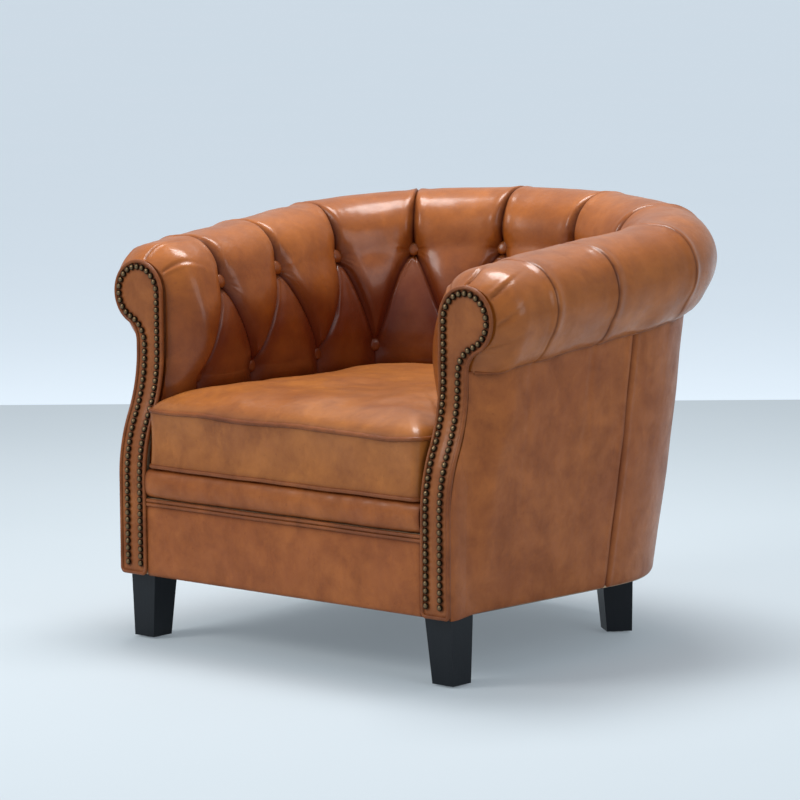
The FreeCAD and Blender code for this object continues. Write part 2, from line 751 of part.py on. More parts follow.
def make_walls():
    """Outside leather from the underside up to the seam under the roll, in three panels."""
    depth = POST_FRONT_Y
    front_y = -2.0 * depth
    neck_y = SWEEP_BACK + depth
    shoulder_x = ROLL.arm_point(WALL_SHOULDER_Y, WALL_TOP_OUT)[0]
    flare = (shoulder_x - WALL_NECK_X) / (WALL_SHOULDER_Y - neck_y)
    low = wall_wire(BASE, 0.0, BASE.arm_point(front_y, 0.0), WALL_SHOULDER_Y,
                    level(UNDERSIDE_Z))
    high = wall_wire(ROLL, WALL_TOP_OUT, (WALL_NECK_X - flare * (neck_y - front_y), front_y),
                     WALL_SHOULDER_Y, lambda y: roll_z(y) - WALL_TOP_DROP)
    wall = Part.makeLoft([low, high], True, True).cut(before_depth(depth))
    reach = 1000.0
    seam_high_y = PANEL_SEAM_Y + PANEL_SEAM_LEAN * reach
    corners = [Vector(-reach, PANEL_SEAM_Y, UNDERSIDE_Z - 5.0),
               Vector(-reach, seam_high_y, UNDERSIDE_Z - 5.0 + reach),
               Vector(-reach, reach, UNDERSIDE_Z - 5.0 + reach),
               Vector(-reach, reach, UNDERSIDE_Z - 5.0)]
    behind = Part.Face(Part.makePolygon(corners + corners[:1])).extrude(
        Vector(2.0 * reach, 0, 0))
    sides = wall.cut(behind)
    half = box_between((0, -reach, 0), (reach, reach, reach))
    left = sides.common(half)
    return left, sides.cut(half), wall.common(behind)


# Hardwood frame


def make_frame():
    """Rails, posts and blocks, as a dictionary of nodes."""
    floor_z = UNDERSIDE_Z + FLOOR_COVER
    post = make_post()
    post_back = before_depth(POST_BACK_Y)
    inner_x = FACING_INNER_X + POST_COVERED
    front = box_between((-inner_x, POST_FRONT_Y, floor_z),
                        (inner_x, POST_BACK_Y, FRONT_RAIL_TOP_Z))
    side = arm_strip(BASE, -LEATHER, -LEATHER - RAIL_THICKNESS, 0.0, floor_z,
                     SIDE_RAIL_TOP_Z).cut(post_back)
    rear = bend_strip(BASE, -LEATHER, -LEATHER - RAIL_THICKNESS, floor_z, SIDE_RAIL_TOP_Z)

    slab = roll_slab(-TOP_RAIL_DROP - TOP_RAIL_HEIGHT, -TOP_RAIL_DROP)
    top_z = roll_z(ROLL_REAR_Y)
    half = TOP_RAIL_THICKNESS / 2
    back_rail = bend_strip(ROLL, half, -half, SIDE_RAIL_TOP_Z, top_z).common(slab)
    corners = [ROLL.arm_start(half), ROLL.arm_start(-half)]
    for out in (-half, half):
        x, y = ROLL.arm_point(0.0, out)
        corners.append((x - rail_shift(0.0), y))
    arm_rail = prism(corners, SIDE_RAIL_TOP_Z, top_z).common(slab).cut(post_back)

    uprights = []
    for length in PLEATS[:4]:
        upright = make_upright(length, top_z)
        uprights += [upright, mirrored(upright)]
    uprights = Part.makeCompound(uprights)
    tack_in = TACK_RAIL_OUT - TACK_RAIL_THICKNESS
    low_z = PAD_FOOT_Z + TACK_RAIL_RISE
    high_z = low_z + TACK_RAIL_HEIGHT
    arm_tack = arm_strip(BASE, TACK_RAIL_OUT, tack_in, 0.0, low_z, high_z).cut(post_back)
    tack = [bend_strip(BASE, TACK_RAIL_OUT, tack_in, low_z, high_z), arm_tack,
            mirrored(arm_tack)]
    tack = Part.makeCompound([rail.cut(uprights) for rail in tack])

    blocks, bolts = make_blocks(side, rear, floor_z)
    return {
        "post_left": post, "post_right": mirrored(post), "front_rail": front,
        "side_rail_left": side, "side_rail_right": mirrored(side), "rear_rail": rear,
        "arm_rail_left": arm_rail, "arm_rail_right": mirrored(arm_rail),
        "back_top_rail": back_rail, "tack_rail": tack,
        "back_uprights": uprights, "corner_blocks": blocks,
        "hanger_bolts": bolts}


def strip_section(length, gap, thickness, width, z):
    """Level rectangle that lies along the padding's back, a gap behind it."""
    x, y, nx, ny = ROLL.at(abs(length))
    side = -1.0 if length < 0 else 1.0
    half = width / 2
    turn = (pad_back(abs(length) + half, z) - pad_back(abs(length) - half, z)) / width
    inner = pad_back(length, z) + gap
    corners = []
    for along, behind in ((-half, 0.0), (half, 0.0), (half, thickness), (-half, thickness)):
        out = inner + behind - turn * along
        corners.append(Vector(side * (x + nx * out - ny * along),
                              y + ny * out + nx * along, z))
    return Part.makePolygon(corners + corners[:1])


def make_upright(length, top_z):
    """Leaning upright from the seat rail to the underside of the top rail."""
    behind = STRAP_THICKNESS + 2.0 * FIT
    wires = [strip_section(length, behind, UPRIGHT_THICKNESS, UPRIGHT_WIDTH, z)
             for z in (SIDE_RAIL_TOP_Z, top_z)]
    above = roll_slab(-TOP_RAIL_DROP - TOP_RAIL_HEIGHT, 2.0 * top_z)
    return Part.makeLoft(wires, True, True).cut(above)


def foot_turn(place, turn):
    return FreeCAD.Placement(Vector(place[0], place[1], 0),
                             FreeCAD.Rotation(Vector(0, 0, 1), -turn))


def foot_places():
    """Plan point and turn of each foot, with its name."""
    return [("front_left", FRONT_FOOT, 0.0, 1.0), ("front_right", FRONT_FOOT, 0.0, -1.0),
            ("rear_left", REAR_FOOT, REAR_FOOT_TURN, 1.0),
            ("rear_right", REAR_FOOT, REAR_FOOT_TURN, -1.0)]


def bolt_xy(name):
    """Where the hanger bolt stands in the foot's own frame."""
    return (-15.0, 11.0) if name.startswith("front") else (0.0, -4.0)


def make_foot(name):
    """Tapered square foot: outer side upright, inner side with the most taper."""
    low = FOOT_SIZE / 2
    extra = FOOT_TOP_SIZE - FOOT_SIZE
    if name.startswith("front"):
        top = (-low - extra, low, -low - extra / 2, low + extra / 2)
    else:
        top = (-low - extra / 2, low + extra / 2, -low - extra, low)
    wires = []
    for z, (x0, x1, y0, y1) in ((GLIDE_HEIGHT, (-low, low, -low, low)), (UNDERSIDE_Z, top)):
        corners = [Vector(x0, y0, z), Vector(x1, y0, z), Vector(x1, y1, z), Vector(x0, y1, z)]
        wires.append(Part.makePolygon(corners + corners[:1]))
    foot = Part.makeLoft(wires, True, True)
    x, y = bolt_xy(name)
    hole = Part.makeCylinder(BOLT_RADIUS, BOLT_IN_FOOT,
                             Vector(x, y, UNDERSIDE_Z - BOLT_IN_FOOT))
    return foot.cut(hole)


def make_blocks(side, rear, floor_z):
    """Corner blocks inside the rails, and the bolts that hold the feet to them."""
    top_z = floor_z + BLOCK_HEIGHT
    edge_x = BASE.arm_start(0.0)[0]
    front = prism([(225.0, POST_BACK_Y), (edge_x, POST_BACK_Y), (edge_x, 115.0)],
                  floor_z, top_z).cut(side)
    outside = BASE.arm_point(115.0, -LEATHER)[0]
    front = front.common(box_between((0, 0, 0), (outside - 1.0, 200.0, top_z)))
    front = max(front.Solids, key=lambda solid: solid.Volume)
    rear_block = box_between((-42.0, -34.0, floor_z), (42.0, 60.0, top_z))
    rear_block.Placement = foot_turn(REAR_FOOT, REAR_FOOT_TURN)
    rear_block = rear_block.cut(bend_strip(BASE, 100.0, -LEATHER - RAIL_THICKNESS,
                                           floor_z, top_z))
    blocks = []
    bolts = []
    for name, place, turn, sign in foot_places():
        block = front if name.startswith("front") else rear_block
        x, y = bolt_xy(name)
        hole = Part.makeCylinder(BOLT_RADIUS, BLOCK_HEIGHT, Vector(x, y, floor_z))
        rod = Part.makeCylinder(BOLT_RADIUS, BOLT_IN_FOOT + FLOOR_COVER + BLOCK_HEIGHT + 8.0,
                                Vector(x, y, UNDERSIDE_Z - BOLT_IN_FOOT))
        washer = Part.makeCylinder(WASHER_RADIUS, WASHER_THICKNESS, Vector(x, y, top_z))
        nut = hexagon(NUT_RADIUS, NUT_HEIGHT, Vector(x, y, top_z + WASHER_THICKNESS))
        bolt = rod.fuse([washer, nut]).removeSplitter()
        hole.Placement = foot_turn(place, turn)
        bolt.Placement = foot_turn(place, turn)
        block = block.cut(hole)
        blocks.append(block if sign > 0 else mirrored(block))
        bolts.append(bolt if sign > 0 else mirrored(bolt))
    return Part.makeCompound(blocks), Part.makeCompound(bolts)


def hexagon(flat_radius, height, place):
    corner = flat_radius / math.cos(math.pi / 6)
    points = [place + Vector(corner * math.cos(i * math.pi / 3),
                             corner * math.sin(i * math.pi / 3), 0) for i in range(6)]
    face = Part.Face(Part.makePolygon(points + points[:1]))
    return face.extrude(Vector(0, 0, height))


# Seat: front edge, springs and platform


def make_seat_front():
    """Border panel, double welt and padded lip across the front of the seat."""
    border = box_between((-FRONT_HALF, BORDER_FRONT_Y, UNDERSIDE_Z),
                         (FRONT_HALF, POST_FRONT_Y, DOUBLE_WELT_Z - WELT_RADIUS))
    welts = []
    for z in (DOUBLE_WELT_Z, DOUBLE_WELT_Z + 2.0 * WELT_RADIUS + 0.1):
        welts.append(Part.makeCylinder(WELT_RADIUS, 2.0 * FRONT_HALF,
                                       Vector(-FRONT_HALF, BORDER_FRONT_Y + WELT_RADIUS / 2, z),
                                       Vector(1, 0, 0)))
    bottom = FRONT_RAIL_TOP_Z
    top = SEAT_Z - CUSHION_GAP
    middle = (bottom + top) / 2
    points = [Vector(0, 5.0, bottom), Vector(0, LIP_FRONT_Y, middle), Vector(0, 12.0, top)]
    edges = [Part.Arc(*points).toShape()]
    corners = [points[2], Vector(0, LIP_REAR_Y, top), Vector(0, LIP_REAR_Y, bottom), points[0]]
    edges += [Part.LineSegment(a, b).toShape() for a, b in zip(corners, corners[1:])]
    lip = Part.Face(Part.Wire(edges))
    lip.translate(Vector(-FRONT_HALF, 0, 0))
    lip = lip.extrude(Vector(2.0 * FRONT_HALF, 0, 0))
    return border, Part.makeCompound(welts), lip


def platform_layer(low_z, high_z):
    """Layer of the seat platform, from the lip back to the padding."""
    edge = WELL_HALF_WIDTH - PLATFORM_CLEARANCE
    front = (edge, LIP_REAR_Y + FIT)
    pieces = WELL.pieces(-PLATFORM_CLEARANCE, front)
    pieces.append([(-edge, front[1]), front])
    face = Part.Face(Part.Wire(edges_of(pieces, level(low_z))))
    return face.extrude(Vector(0, 0, high_z - low_z))


def spring_reach(x, out):
    """Y of the rear rail's inner face at this X."""
    radius = BASE.back_radius + out
    return BASE.back_y + math.sqrt(radius ** 2 - x ** 2)


def make_springs():
    """Sinuous wire springs from front rail to rear rail, with a clip at each end."""
    z = SIDE_RAIL_TOP_Z - 4.0
    front_y = POST_BACK_Y + 4.0
    springs = []
    clips = []
    radius = SPRING_PITCH / 4
    for x in SPRING_X:
        rear_y = spring_reach(abs(x) + SPRING_WIDTH / 2, -LEATHER - RAIL_THICKNESS) - 4.0
        count = int((rear_y - front_y) / (2.0 * radius))
        start = (rear_y + front_y) / 2 - count * radius
        edges = []
        side = 1.0
        for i in range(count):
            y = start + 2.0 * radius * i
            bend_x = x + side * (SPRING_WIDTH / 2 - radius)
            begin = Vector(x - side * (SPRING_WIDTH / 2 - radius), y, z)
            if i == 0:
                begin = Vector(x, y, z)
            edges.append(Part.LineSegment(begin, Vector(bend_x, y, z)).toShape())
            edges.append(Part.Arc(Vector(bend_x, y, z),
                                  Vector(bend_x + side * radius, y + radius, z),
                                  Vector(bend_x, y + 2.0 * radius, z)).toShape())
            side = -side
        last = start + 2.0 * radius * count
        edges.append(Part.LineSegment(Vector(x - side * (SPRING_WIDTH / 2 - radius), last, z),
                                      Vector(x, last, z)).toShape())
        ring = Part.Wire(Part.makeCircle(SPRING_WIRE, Vector(x, start, z), Vector(1, 0, 0)))
        springs.append(Part.Wire(edges).makePipeShell([ring], True, False))
        rail_y = spring_reach(abs(x) + 8.0, -LEATHER - RAIL_THICKNESS)
        for low_y, high_y in ((front_y - 4.0, start + 6.0), (last - 6.0, rail_y - 0.3)):
            outer = box_between((x - 8.0, low_y, z - 3.4), (x + 8.0, high_y, z + 3.4))
            hollow = box_between((x - 9.0, low_y + 1.5, z - 2.0), (x + 9.0, high_y - 1.5, z + 2.0))
            clips.append(outer.cut(hollow))
    return Part.makeCompound(springs), Part.makeCompound(clips)


def make_webbing():
    """Upright webbing straps behind the padding, from tack rail to top rail."""
    straps = []
    stops = PLEATS + (ROLL.length_at_y(100.0),)
    places = [(low + high) / 2 for low, high in zip(stops, stops[1:])]
    low_z = PAD_FOOT_Z + TACK_RAIL_RISE + TACK_RAIL_HEIGHT + FIT / 2
    for length in [0.0] + places + [-place for place in places]:
        high_z = roll_z(ROLL.at(abs(length))[1]) - TOP_RAIL_DROP - 8.0
        wires = [strip_section(length, FIT, STRAP_THICKNESS, STRAP_WIDTH, z)
                 for z in (low_z, high_z)]
        straps.append(Part.makeLoft(wires, True, True))
    return Part.makeCompound(straps)


def make_hessian(uprights, front_y):
    """Hessian over the springs, tacked along the tops of the seat rails."""
    inset = -LEATHER - 4.0
    front = BASE.arm_point(front_y, inset)
    pieces = BASE.pieces(inset, front)
    pieces.append([(-front[0], front[1]), front])
    cloth = Part.Face(Part.Wire(edges_of(pieces, level(SIDE_RAIL_TOP_Z))))
    return cloth.extrude(Vector(0, 0, HESSIAN)).cut(uprights)


def make_dust_cover():
    """Thin cloth under the seat, open where the bolts of the feet pass."""
    inset = -LEATHER - 1.0
    front = BASE.arm_point(BORDER_FRONT_Y + 8.0, inset)
    pieces = BASE.pieces(inset, front)
    pieces.append([(-front[0], front[1]), front])
    cloth = Part.Face(Part.Wire(edges_of(pieces, level(UNDERSIDE_Z))))
    cloth = cloth.extrude(Vector(0, 0, FLOOR_COVER))
    for name, place, turn, sign in foot_places():
        x, y = bolt_xy(name)
        hole = Part.makeCylinder(BOLT_RADIUS, FLOOR_COVER, Vector(x, y, UNDERSIDE_Z))
        hole.Placement = foot_turn(place, turn)
        cloth = cloth.cut(hole if sign > 0 else mirrored(hole))
    return cloth


# Loose cushion


def cushion_pieces(inset):
    """Outline of the cushion: round-cornered front, narrower behind the facings, round back."""
    wide = CUSHION_FRONT_HALF - inset
    narrow = WELL_HALF_WIDTH - CUSHION_CLEARANCE - inset
    front = CUSHION_FRONT_Y + inset
    corner = CUSHION_FRONT_CORNER - inset
    bend = corner * (1 - math.cos(math.pi / 4))
    half = [[(wide - corner, front), (wide - bend, front + bend), (wide, front + corner)],
            [(wide, front + corner), (wide, CUSHION_EAR_Y)],
            [(wide, CUSHION_EAR_Y), (narrow, CUSHION_EAR_END_Y)],
            [(narrow, CUSHION_EAR_END_Y), (narrow, WELL.y)]]
    other = [[(-x, y) for x, y in piece] for piece in backwards(half)]
    line = [[(corner - wide, front), (wide - corner, front)]]
    return line + half + WELL.bend_pieces(-CUSHION_CLEARANCE - inset) + other


def cushion_wire(inset, z, scale=1.0):
    wire = Part.Wire(edges_of(cushion_pieces(inset), level(z)))
    if scale != 1.0:
        centre = Vector(0, (CUSHION_FRONT_Y + WELL.back_y + WELL.back_radius) / 2, z)
        wire.scale(scale, centre)
    return wire


def crown_solid(inset, low_z, height):
    """Crowned top: steep at the edge and almost level in the middle."""
    shape = ((1.0, 0.0), (0.985, 0.32), (0.955, 0.55), (0.88, 0.75), (0.74, 0.89),
             (0.5, 0.97), (0.2, 1.0))
    wires = [cushion_wire(inset, low_z + height * rise, scale) for scale, rise in shape]
    return Part.makeLoft(wires, True, False)


def boxing_solid(inset, low_z, high_z):
    """Boxing drawn in between its two lines of piping."""
    shape = ((0.0, 0.0), (0.25, 0.75), (0.5, 1.0), (0.75, 0.75), (1.0, 0.0))
    wires = [cushion_wire(inset + BOXING_WAIST * draw, mix(low_z, high_z, share))
             for share, draw in shape]
    return Part.makeLoft(wires, True, False)


def make_cushion():
    """Cover panels, filling, piping and zip of the loose cushion."""
    low_z = SEAT_Z + PIPING_RADIUS
    high_z = low_z + BOXING_HEIGHT
    edge = 3.0
    inner = edge + LEATHER
    crown = crown_solid(edge, high_z, CROWN)
    crown_fill = crown_solid(inner, high_z, CROWN - LEATHER)
    box = boxing_solid(edge, low_z, high_z)
    box_fill = boxing_solid(inner, low_z, high_z)
    dish = Part.makeLoft([cushion_wire(edge + 5.0, SEAT_Z), cushion_wire(edge, low_z)],
                         True, True)
    dish_fill = Part.makeLoft([cushion_wire(inner + 5.0, SEAT_Z + LEATHER),
                               cushion_wire(inner, low_z)], True, True)
    pipings = []
    for z in (low_z, high_z):
        path = Part.Wire(edges_of(cushion_pieces(PIPING_RADIUS), level(z)))
        start = Vector(0, CUSHION_FRONT_Y + PIPING_RADIUS, z)
        ring = Part.Wire(Part.makeCircle(PIPING_RADIUS, start, Vector(1, 0, 0)))
        pipings.append(path_pipe(path, ring))
    rope = Part.makeCompound(pipings)
    filling = box_fill.fuse([crown_fill, dish_fill])
    return {
        "cushion_top": crown.cut(crown_fill).cut(rope),
        "cushion_boxing": box.cut(box_fill).cut(rope),
        "cushion_bottom": dish.cut(dish_fill).cut(rope),
        "cushion_filling": filling.cut(rope),
        "cushion_piping": rope}


def path_pipe(path, ring):
    """Round cord along a closed path, started in the middle of the front line."""
    return path.makePipeShell([ring], True, False)


def zip_arc(out, inside, low_angle, high_angle, low_z, high_z):
    """Curved bar about the centre of the cushion's back arc."""
    radius = WELL.back_radius - CUSHION_CLEARANCE
    centre = Vector(0, WELL.back_y, low_z)
    angles = [math.degrees(a) for a in (low_angle, high_angle)]
    outer = Part.makeCylinder(radius + out, high_z - low_z, centre, Vector(0, 0, 1),
                              angles[1] - angles[0])
    core = Part.makeCylinder(radius + inside, high_z - low_z, centre)
    bar = outer.cut(core)
    bar.rotate(centre, Vector(0, 0, 1), 90.0 + angles[0])
    return bar


def make_zip():
    """Zip along the back of the boxing, and the slider with its pull."""
    middle = SEAT_Z + PIPING_RADIUS + BOXING_HEIGHT / 2
    face = -3.0 - BOXING_WAIST
    chain = zip_arc(face + 1.6, face + 0.1, -ZIP_HALF_ANGLE, ZIP_HALF_ANGLE,
                    middle - ZIP_WIDTH / 2, middle + ZIP_WIDTH / 2)
    half_width = 5.0 / WELL.back_radius
    body = zip_arc(face + 4.4, face + 1.9, SLIDER_ANGLE - half_width,
                   SLIDER_ANGLE + half_width, middle - 5.5, middle + 5.5)
    pull = zip_arc(face + 5.8, face + 4.4, SLIDER_ANGLE - half_width / 2,
                   SLIDER_ANGLE + half_width / 2, middle - 30.0, middle + 3.0)
    return chain, body.fuse(pull)


def make_padding(buttons):
    """Swells of both arms and the back, each node a group of swells."""
    front = make_front_swell()
    front = front.cut(before_depth(POST_FRONT_Y))
    front = front.cut(make_post())
    front = max(front.Solids, key=lambda solid: solid.Volume)
    left = [front, make_swell(PLEATS[3], PLEATS[4]), make_swell(PLEATS[2], PLEATS[3])]
    left = [swell.cut(buttons) for swell in left]
    middle = make_swell(-PLEATS[0], PLEATS[0]).cut(buttons)
    back = [middle]
    for low, high in ((PLEATS[0], PLEATS[1]), (PLEATS[1], PLEATS[2])):
        swell = make_swell(low, high).cut(buttons)
        back += [swell, mirrored(swell)]
    return (Part.makeCompound(left), Part.makeCompound([mirrored(s) for s in left]),
            Part.makeCompound(back))


def export(name, shape):
    front_y = LIP_FRONT_Y
    rear_y = ROLL_REAR_Y + ROLL_RADIUS
    shape = shape.copy()
    shape.translate(Vector(0, -(front_y + rear_y) / 2, 0))
    solids = shape.Solids
    good = all(solid.isValid() for solid in solids)
    volume = sum(solid.Volume for solid in solids)
    print("%-24s %3d solids  valid %s  volume %.0f" % (name, len(solids), good, volume))
    if len(solids) == 1:
        shape = solids[0]
    shape.exportStep("parts/%s.step" % name)


def main():
    os.makedirs("parts", exist_ok=True)
    nodes = make_frame()
    facing = make_facing()
    welt = make_welt()
    nails = make_nails()
    nodes.update({"facing_left": facing, "facing_right": mirrored(facing),
                  "facing_welt_left": welt, "facing_welt_right": mirrored(welt),
                  "nails_left": nails, "nails_right": mirrored(nails)})
    left, right, back = make_walls()
    nodes.update({"outside_side_left": left, "outside_side_right": right,
                  "outside_back": back})
    buttons = make_buttons()
    left, right, back = make_padding(buttons)
    nodes.update({"inside_arm_left": left, "inside_arm_right": right, "inside_back": back,
                  "tuft_buttons": buttons})
    border, welts, lip = make_seat_front()
    nodes.update({"front_border": border, "front_double_welt": welts, "seat_lip": lip})
    springs, clips = make_springs()
    seat_top = SEAT_Z - CUSHION_GAP
    nodes.update({"seat_springs": springs, "spring_clips": clips,
                  "seat_hessian": make_hessian(nodes["back_uprights"], POST_BACK_Y),
                  "platform_pad": platform_layer(SIDE_RAIL_TOP_Z + HESSIAN,
                                                 seat_top - LEATHER),
                  "platform_cover": platform_layer(seat_top - LEATHER, seat_top),
                  "back_webbing": make_webbing(), "dust_cover": make_dust_cover()})
    nodes.update(make_cushion())
    chain, slider = make_zip()
    nodes.update({"cushion_zip": chain, "zip_slider": slider})
    glides = []
    for name, place, turn, sign in foot_places():
        foot = make_foot(name)
        glide = Part.makeCylinder(GLIDE_RADIUS, GLIDE_HEIGHT)
        foot.Placement = foot_turn(place, turn)
        glide.Placement = foot_turn(place, turn)
        nodes["foot_" + name] = foot if sign > 0 else mirrored(foot)
        glides.append(glide if sign > 0 else mirrored(glide))
    nodes["foot_glides"] = Part.makeCompound(glides)
    for name in sorted(nodes):
        export(name, nodes[name])


main()
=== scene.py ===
"""Deep-buttoned leather tub armchair, dressed over its frame.

Sizes are in millimetres as an upholsterer takes them, with Y = 0 at the front of the arm
facings; place() turns them into the frame's metres.
"""

import math

import bpy
import numpy as np
from mathutils import Matrix, Vector


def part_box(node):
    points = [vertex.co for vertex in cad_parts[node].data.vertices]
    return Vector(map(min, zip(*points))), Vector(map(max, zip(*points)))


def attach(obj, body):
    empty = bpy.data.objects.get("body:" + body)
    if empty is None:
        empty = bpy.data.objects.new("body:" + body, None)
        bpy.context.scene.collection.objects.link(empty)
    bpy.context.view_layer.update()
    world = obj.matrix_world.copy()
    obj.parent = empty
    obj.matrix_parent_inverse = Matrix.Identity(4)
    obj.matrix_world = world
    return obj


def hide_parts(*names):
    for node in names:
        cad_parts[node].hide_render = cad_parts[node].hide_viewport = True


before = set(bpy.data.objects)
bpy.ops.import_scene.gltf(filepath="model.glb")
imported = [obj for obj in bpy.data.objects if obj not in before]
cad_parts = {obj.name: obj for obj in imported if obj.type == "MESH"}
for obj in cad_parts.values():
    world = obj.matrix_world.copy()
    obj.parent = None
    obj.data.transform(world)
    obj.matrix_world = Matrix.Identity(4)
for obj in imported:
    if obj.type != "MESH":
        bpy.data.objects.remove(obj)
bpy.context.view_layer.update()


# Buttoned inside with its roll
# Leather over fibre and foam, drawn in by buttons in two rows and pleated over the roll. It
# runs from the seam under the roll, over the top and down inside to the seat. Three pieces
# are made: both arms and the back, parted along a pleat and the fold below its button.

# The frame's Y = 0 lies this far behind the front of the facings
FRONT_TO_CENTRE = 389.25


def placed(points):
    """Points in the frame's metres from points in millimetres."""
    return (points - np.array((0.0, FRONT_TO_CENTRE, 0.0))) / 1000.0


def place(x, y, z):
    """The same from separate grids of x, y and z."""
    return placed(np.stack(np.broadcast_arrays(x, y, z), -1))


def smooth(value):
    """Ease from 0 to 1 with level ends: 3v^2 - 2v^3, held at the ends."""
    value = np.clip(value, 0.0, 1.0)
    return value * value * (3.0 - 2.0 * value)


def mix(low, high, share):
    """low at share 0, high at share 1."""
    return low + (high - low) * share


class TubLine:
    """Plan line of the tub, by length from the middle of the back, + towards the sitter's left."""

    def __init__(self, corner, radius, rear_y, splay):
        self.corner, self.radius, self.splay = corner, radius, splay
        reach = rear_y - radius
        self.back_y = (reach ** 2 - corner[0] ** 2 - corner[1] ** 2) / (2 * (reach - corner[1]))
        self.back_radius = rear_y - self.back_y
        self.join = math.atan2(corner[1] - self.back_y, corner[0])
        self.back_length = self.back_radius * (math.pi / 2 - self.join)
        self.bend_length = self.back_length + radius * (self.join + splay)

    def at(self, length):
        """Points and outward directions at lengths, arcs first and the straight arm after."""
        side = np.where(length < 0, -1.0, 1.0)
        run = np.abs(length)
        in_back = run < self.back_length
        angle = np.where(in_back, math.pi / 2 - run / self.back_radius,
                         np.maximum(self.join - (run - self.back_length) / self.radius,
                                    -self.splay))
        radius = np.where(in_back, self.back_radius, self.radius)
        x = np.where(in_back, 0.0, self.corner[0]) + radius * np.cos(angle)
        y = np.where(in_back, self.back_y, self.corner[1]) + radius * np.sin(angle)
        past = np.maximum(run - self.bend_length, 0.0)
        x = x - past * math.sin(self.splay)
        y = y - past * math.cos(self.splay)
        return side * x, y, side * np.cos(angle), np.sin(angle)

    def arm_start(self):
        return (self.corner[0] + self.radius * math.cos(self.splay),
                self.corner[1] - self.radius * math.sin(self.splay))

    def arm_x(self, y):
        x0, y0 = self.arm_start()
        return x0 + (y - y0) * math.tan(self.splay)

    def length_at(self, y):
        return self.bend_length + (self.arm_start()[1] - y) / math.cos(self.splay)

    def bend(self, share, out=0.0):
        """Points of the bend, out from the line, at shares 0 to 1 from arm to arm, +X first."""
        share = np.asarray(share, float)
        half = 2.0 * np.minimum(share, 1.0 - share)
        in_corner = half < 0.5
        angle = np.where(in_corner, mix(-self.splay, self.join, half / 0.5),
                         mix(self.join, math.pi / 2, (half - 0.5) / 0.5))
        radius = np.where(in_corner, self.radius, self.back_radius) + out
        x = np.where(in_corner, self.corner[0], 0.0) + radius * np.cos(angle)
        y = np.where(in_corner, self.corner[1], self.back_y) + radius * np.sin(angle)
        return np.where(share > 0.5, -x, x), y


ARM_SPLAY = math.radians(2.6)
ROLL = TubLine((137.0, 430.0), 235.0, 712.0, ARM_SPLAY)
HEAD_FRONT = 43.0


def roll_z(y):
    """Height of the roll's middle line, which climbs to the back."""
    return 549.0 + 0.104 * (y - HEAD_FRONT)


def sweep_y(z):
    """Front line of the arms seen from the side: two equal arcs from Y = 0 back to Y = 43."""
    start, end, back = 260.0, 458.0, HEAD_FRONT
    half = (end - start) / 2
    radius = (half ** 2 + (back / 2) ** 2) / back
    low = radius - np.sqrt(radius ** 2 - np.clip(z - start, 0.0, half) ** 2)
    high = radius - np.sqrt(radius ** 2 - np.clip(end - z, 0.0, half) ** 2)
    return np.where(z < start + half, low, back - high)


def undulation(points, wavelength, seed):
    """Soft unevenness of stuffed leather: eight plane waves in seeded directions, about +-1."""
    rng = np.random.default_rng(seed)
    total = np.zeros(points.shape[:-1])
    for _ in range(8):
        direction = rng.normal(size=3)
        direction *= rng.uniform(0.7, 1.5) * 2.0 * math.pi / wavelength / np.linalg.norm(direction)
        total += np.sin(points @ direction * 1000.0 + rng.uniform(0.0, 6.28))
    return total / 3.0


def closed_skin(name, grids, marks=None, caps=()):
    """One mesh from grids of points: neighbours share a face, coincident points are welded.

    Marks are named values of the grids' points, caps are faces given by point numbers.
    """
    points, quads = [], []
    start = 0
    for grid in grids:
        rows, columns = grid.shape[:2]
        index = np.arange(rows * columns).reshape(rows, columns) + start
        quads.append(np.stack([index[:-1, :-1], index[1:, :-1], index[1:, 1:], index[:-1, 1:]],
                              -1).reshape(-1, 4))
        points.append(grid.reshape(-1, 3))
        start += rows * columns
    points = np.concatenate(points)
    quads = np.concatenate(quads)
    _, first, weld = np.unique(np.round(points * 2e6).astype(np.int64), axis=0,
                               return_index=True, return_inverse=True)
    weld = weld.reshape(-1)
    quads = weld[quads]
    distinct = quads != np.roll(quads, -1, axis=1)
    faces = [quads[distinct.all(1)]]
    for corner in range(4):
        thin = (distinct.sum(1) == 3) & ~distinct[:, corner]
        faces.append(np.delete(quads[thin], corner, axis=1))
    faces = [face for group in faces for face in group.tolist()]
    faces += [weld[list(cap)].tolist() for cap in caps]
    mesh = bpy.data.meshes.new(name)
    mesh.from_pydata(points[first], [], faces)
    for key, value in (marks or {}).items():
        full = np.zeros(len(points), np.float32)
        full[:value.size] = value.reshape(-1)
        mesh.attributes.new(key, "FLOAT", "POINT").data.foreach_set("value", full[first])
    mesh.polygons.foreach_set("use_smooth", np.ones(len(mesh.polygons), bool))
    mesh.set_sharp_from_angle(angle=math.radians(60.0))
    piece = bpy.data.objects.new(name, mesh)
    bpy.context.collection.objects.link(piece)
    return piece


def end_caps(grid):
    """Faces that close both ends of a strip that is a ring in section."""
    index = np.arange(grid.shape[0] * grid.shape[1]).reshape(grid.shape[:2])
    return index[:-1, 0], index[:-1, -1][::-1]


class Value:
    """A shader socket that can be reckoned with: every operator adds its Math node."""

    def __init__(self, finish, socket):
        self.finish, self.socket = finish, socket

    def reckon(self, operation, *others):
        return self.finish.node("ShaderNodeMath", {"operation": operation},
                                **{str(i): v for i, v in enumerate((self,) + others)})

    def __add__(self, other):
        return self.reckon("ADD", other)

    def __sub__(self, other):
        return self.reckon("SUBTRACT", other)

    def __rsub__(self, other):
        return self.finish.node("ShaderNodeMath", {"operation": "SUBTRACT"},
                                **{"0": other, "1": self})

    def __mul__(self, other):
        return self.reckon("MULTIPLY", other)

    def __pow__(self, other):
        return self.reckon("POWER", other)

    __radd__ = __add__
    __rmul__ = __mul__

    def limited(self):
        return self.finish.node("ShaderNodeClamp", {}, Value=self)


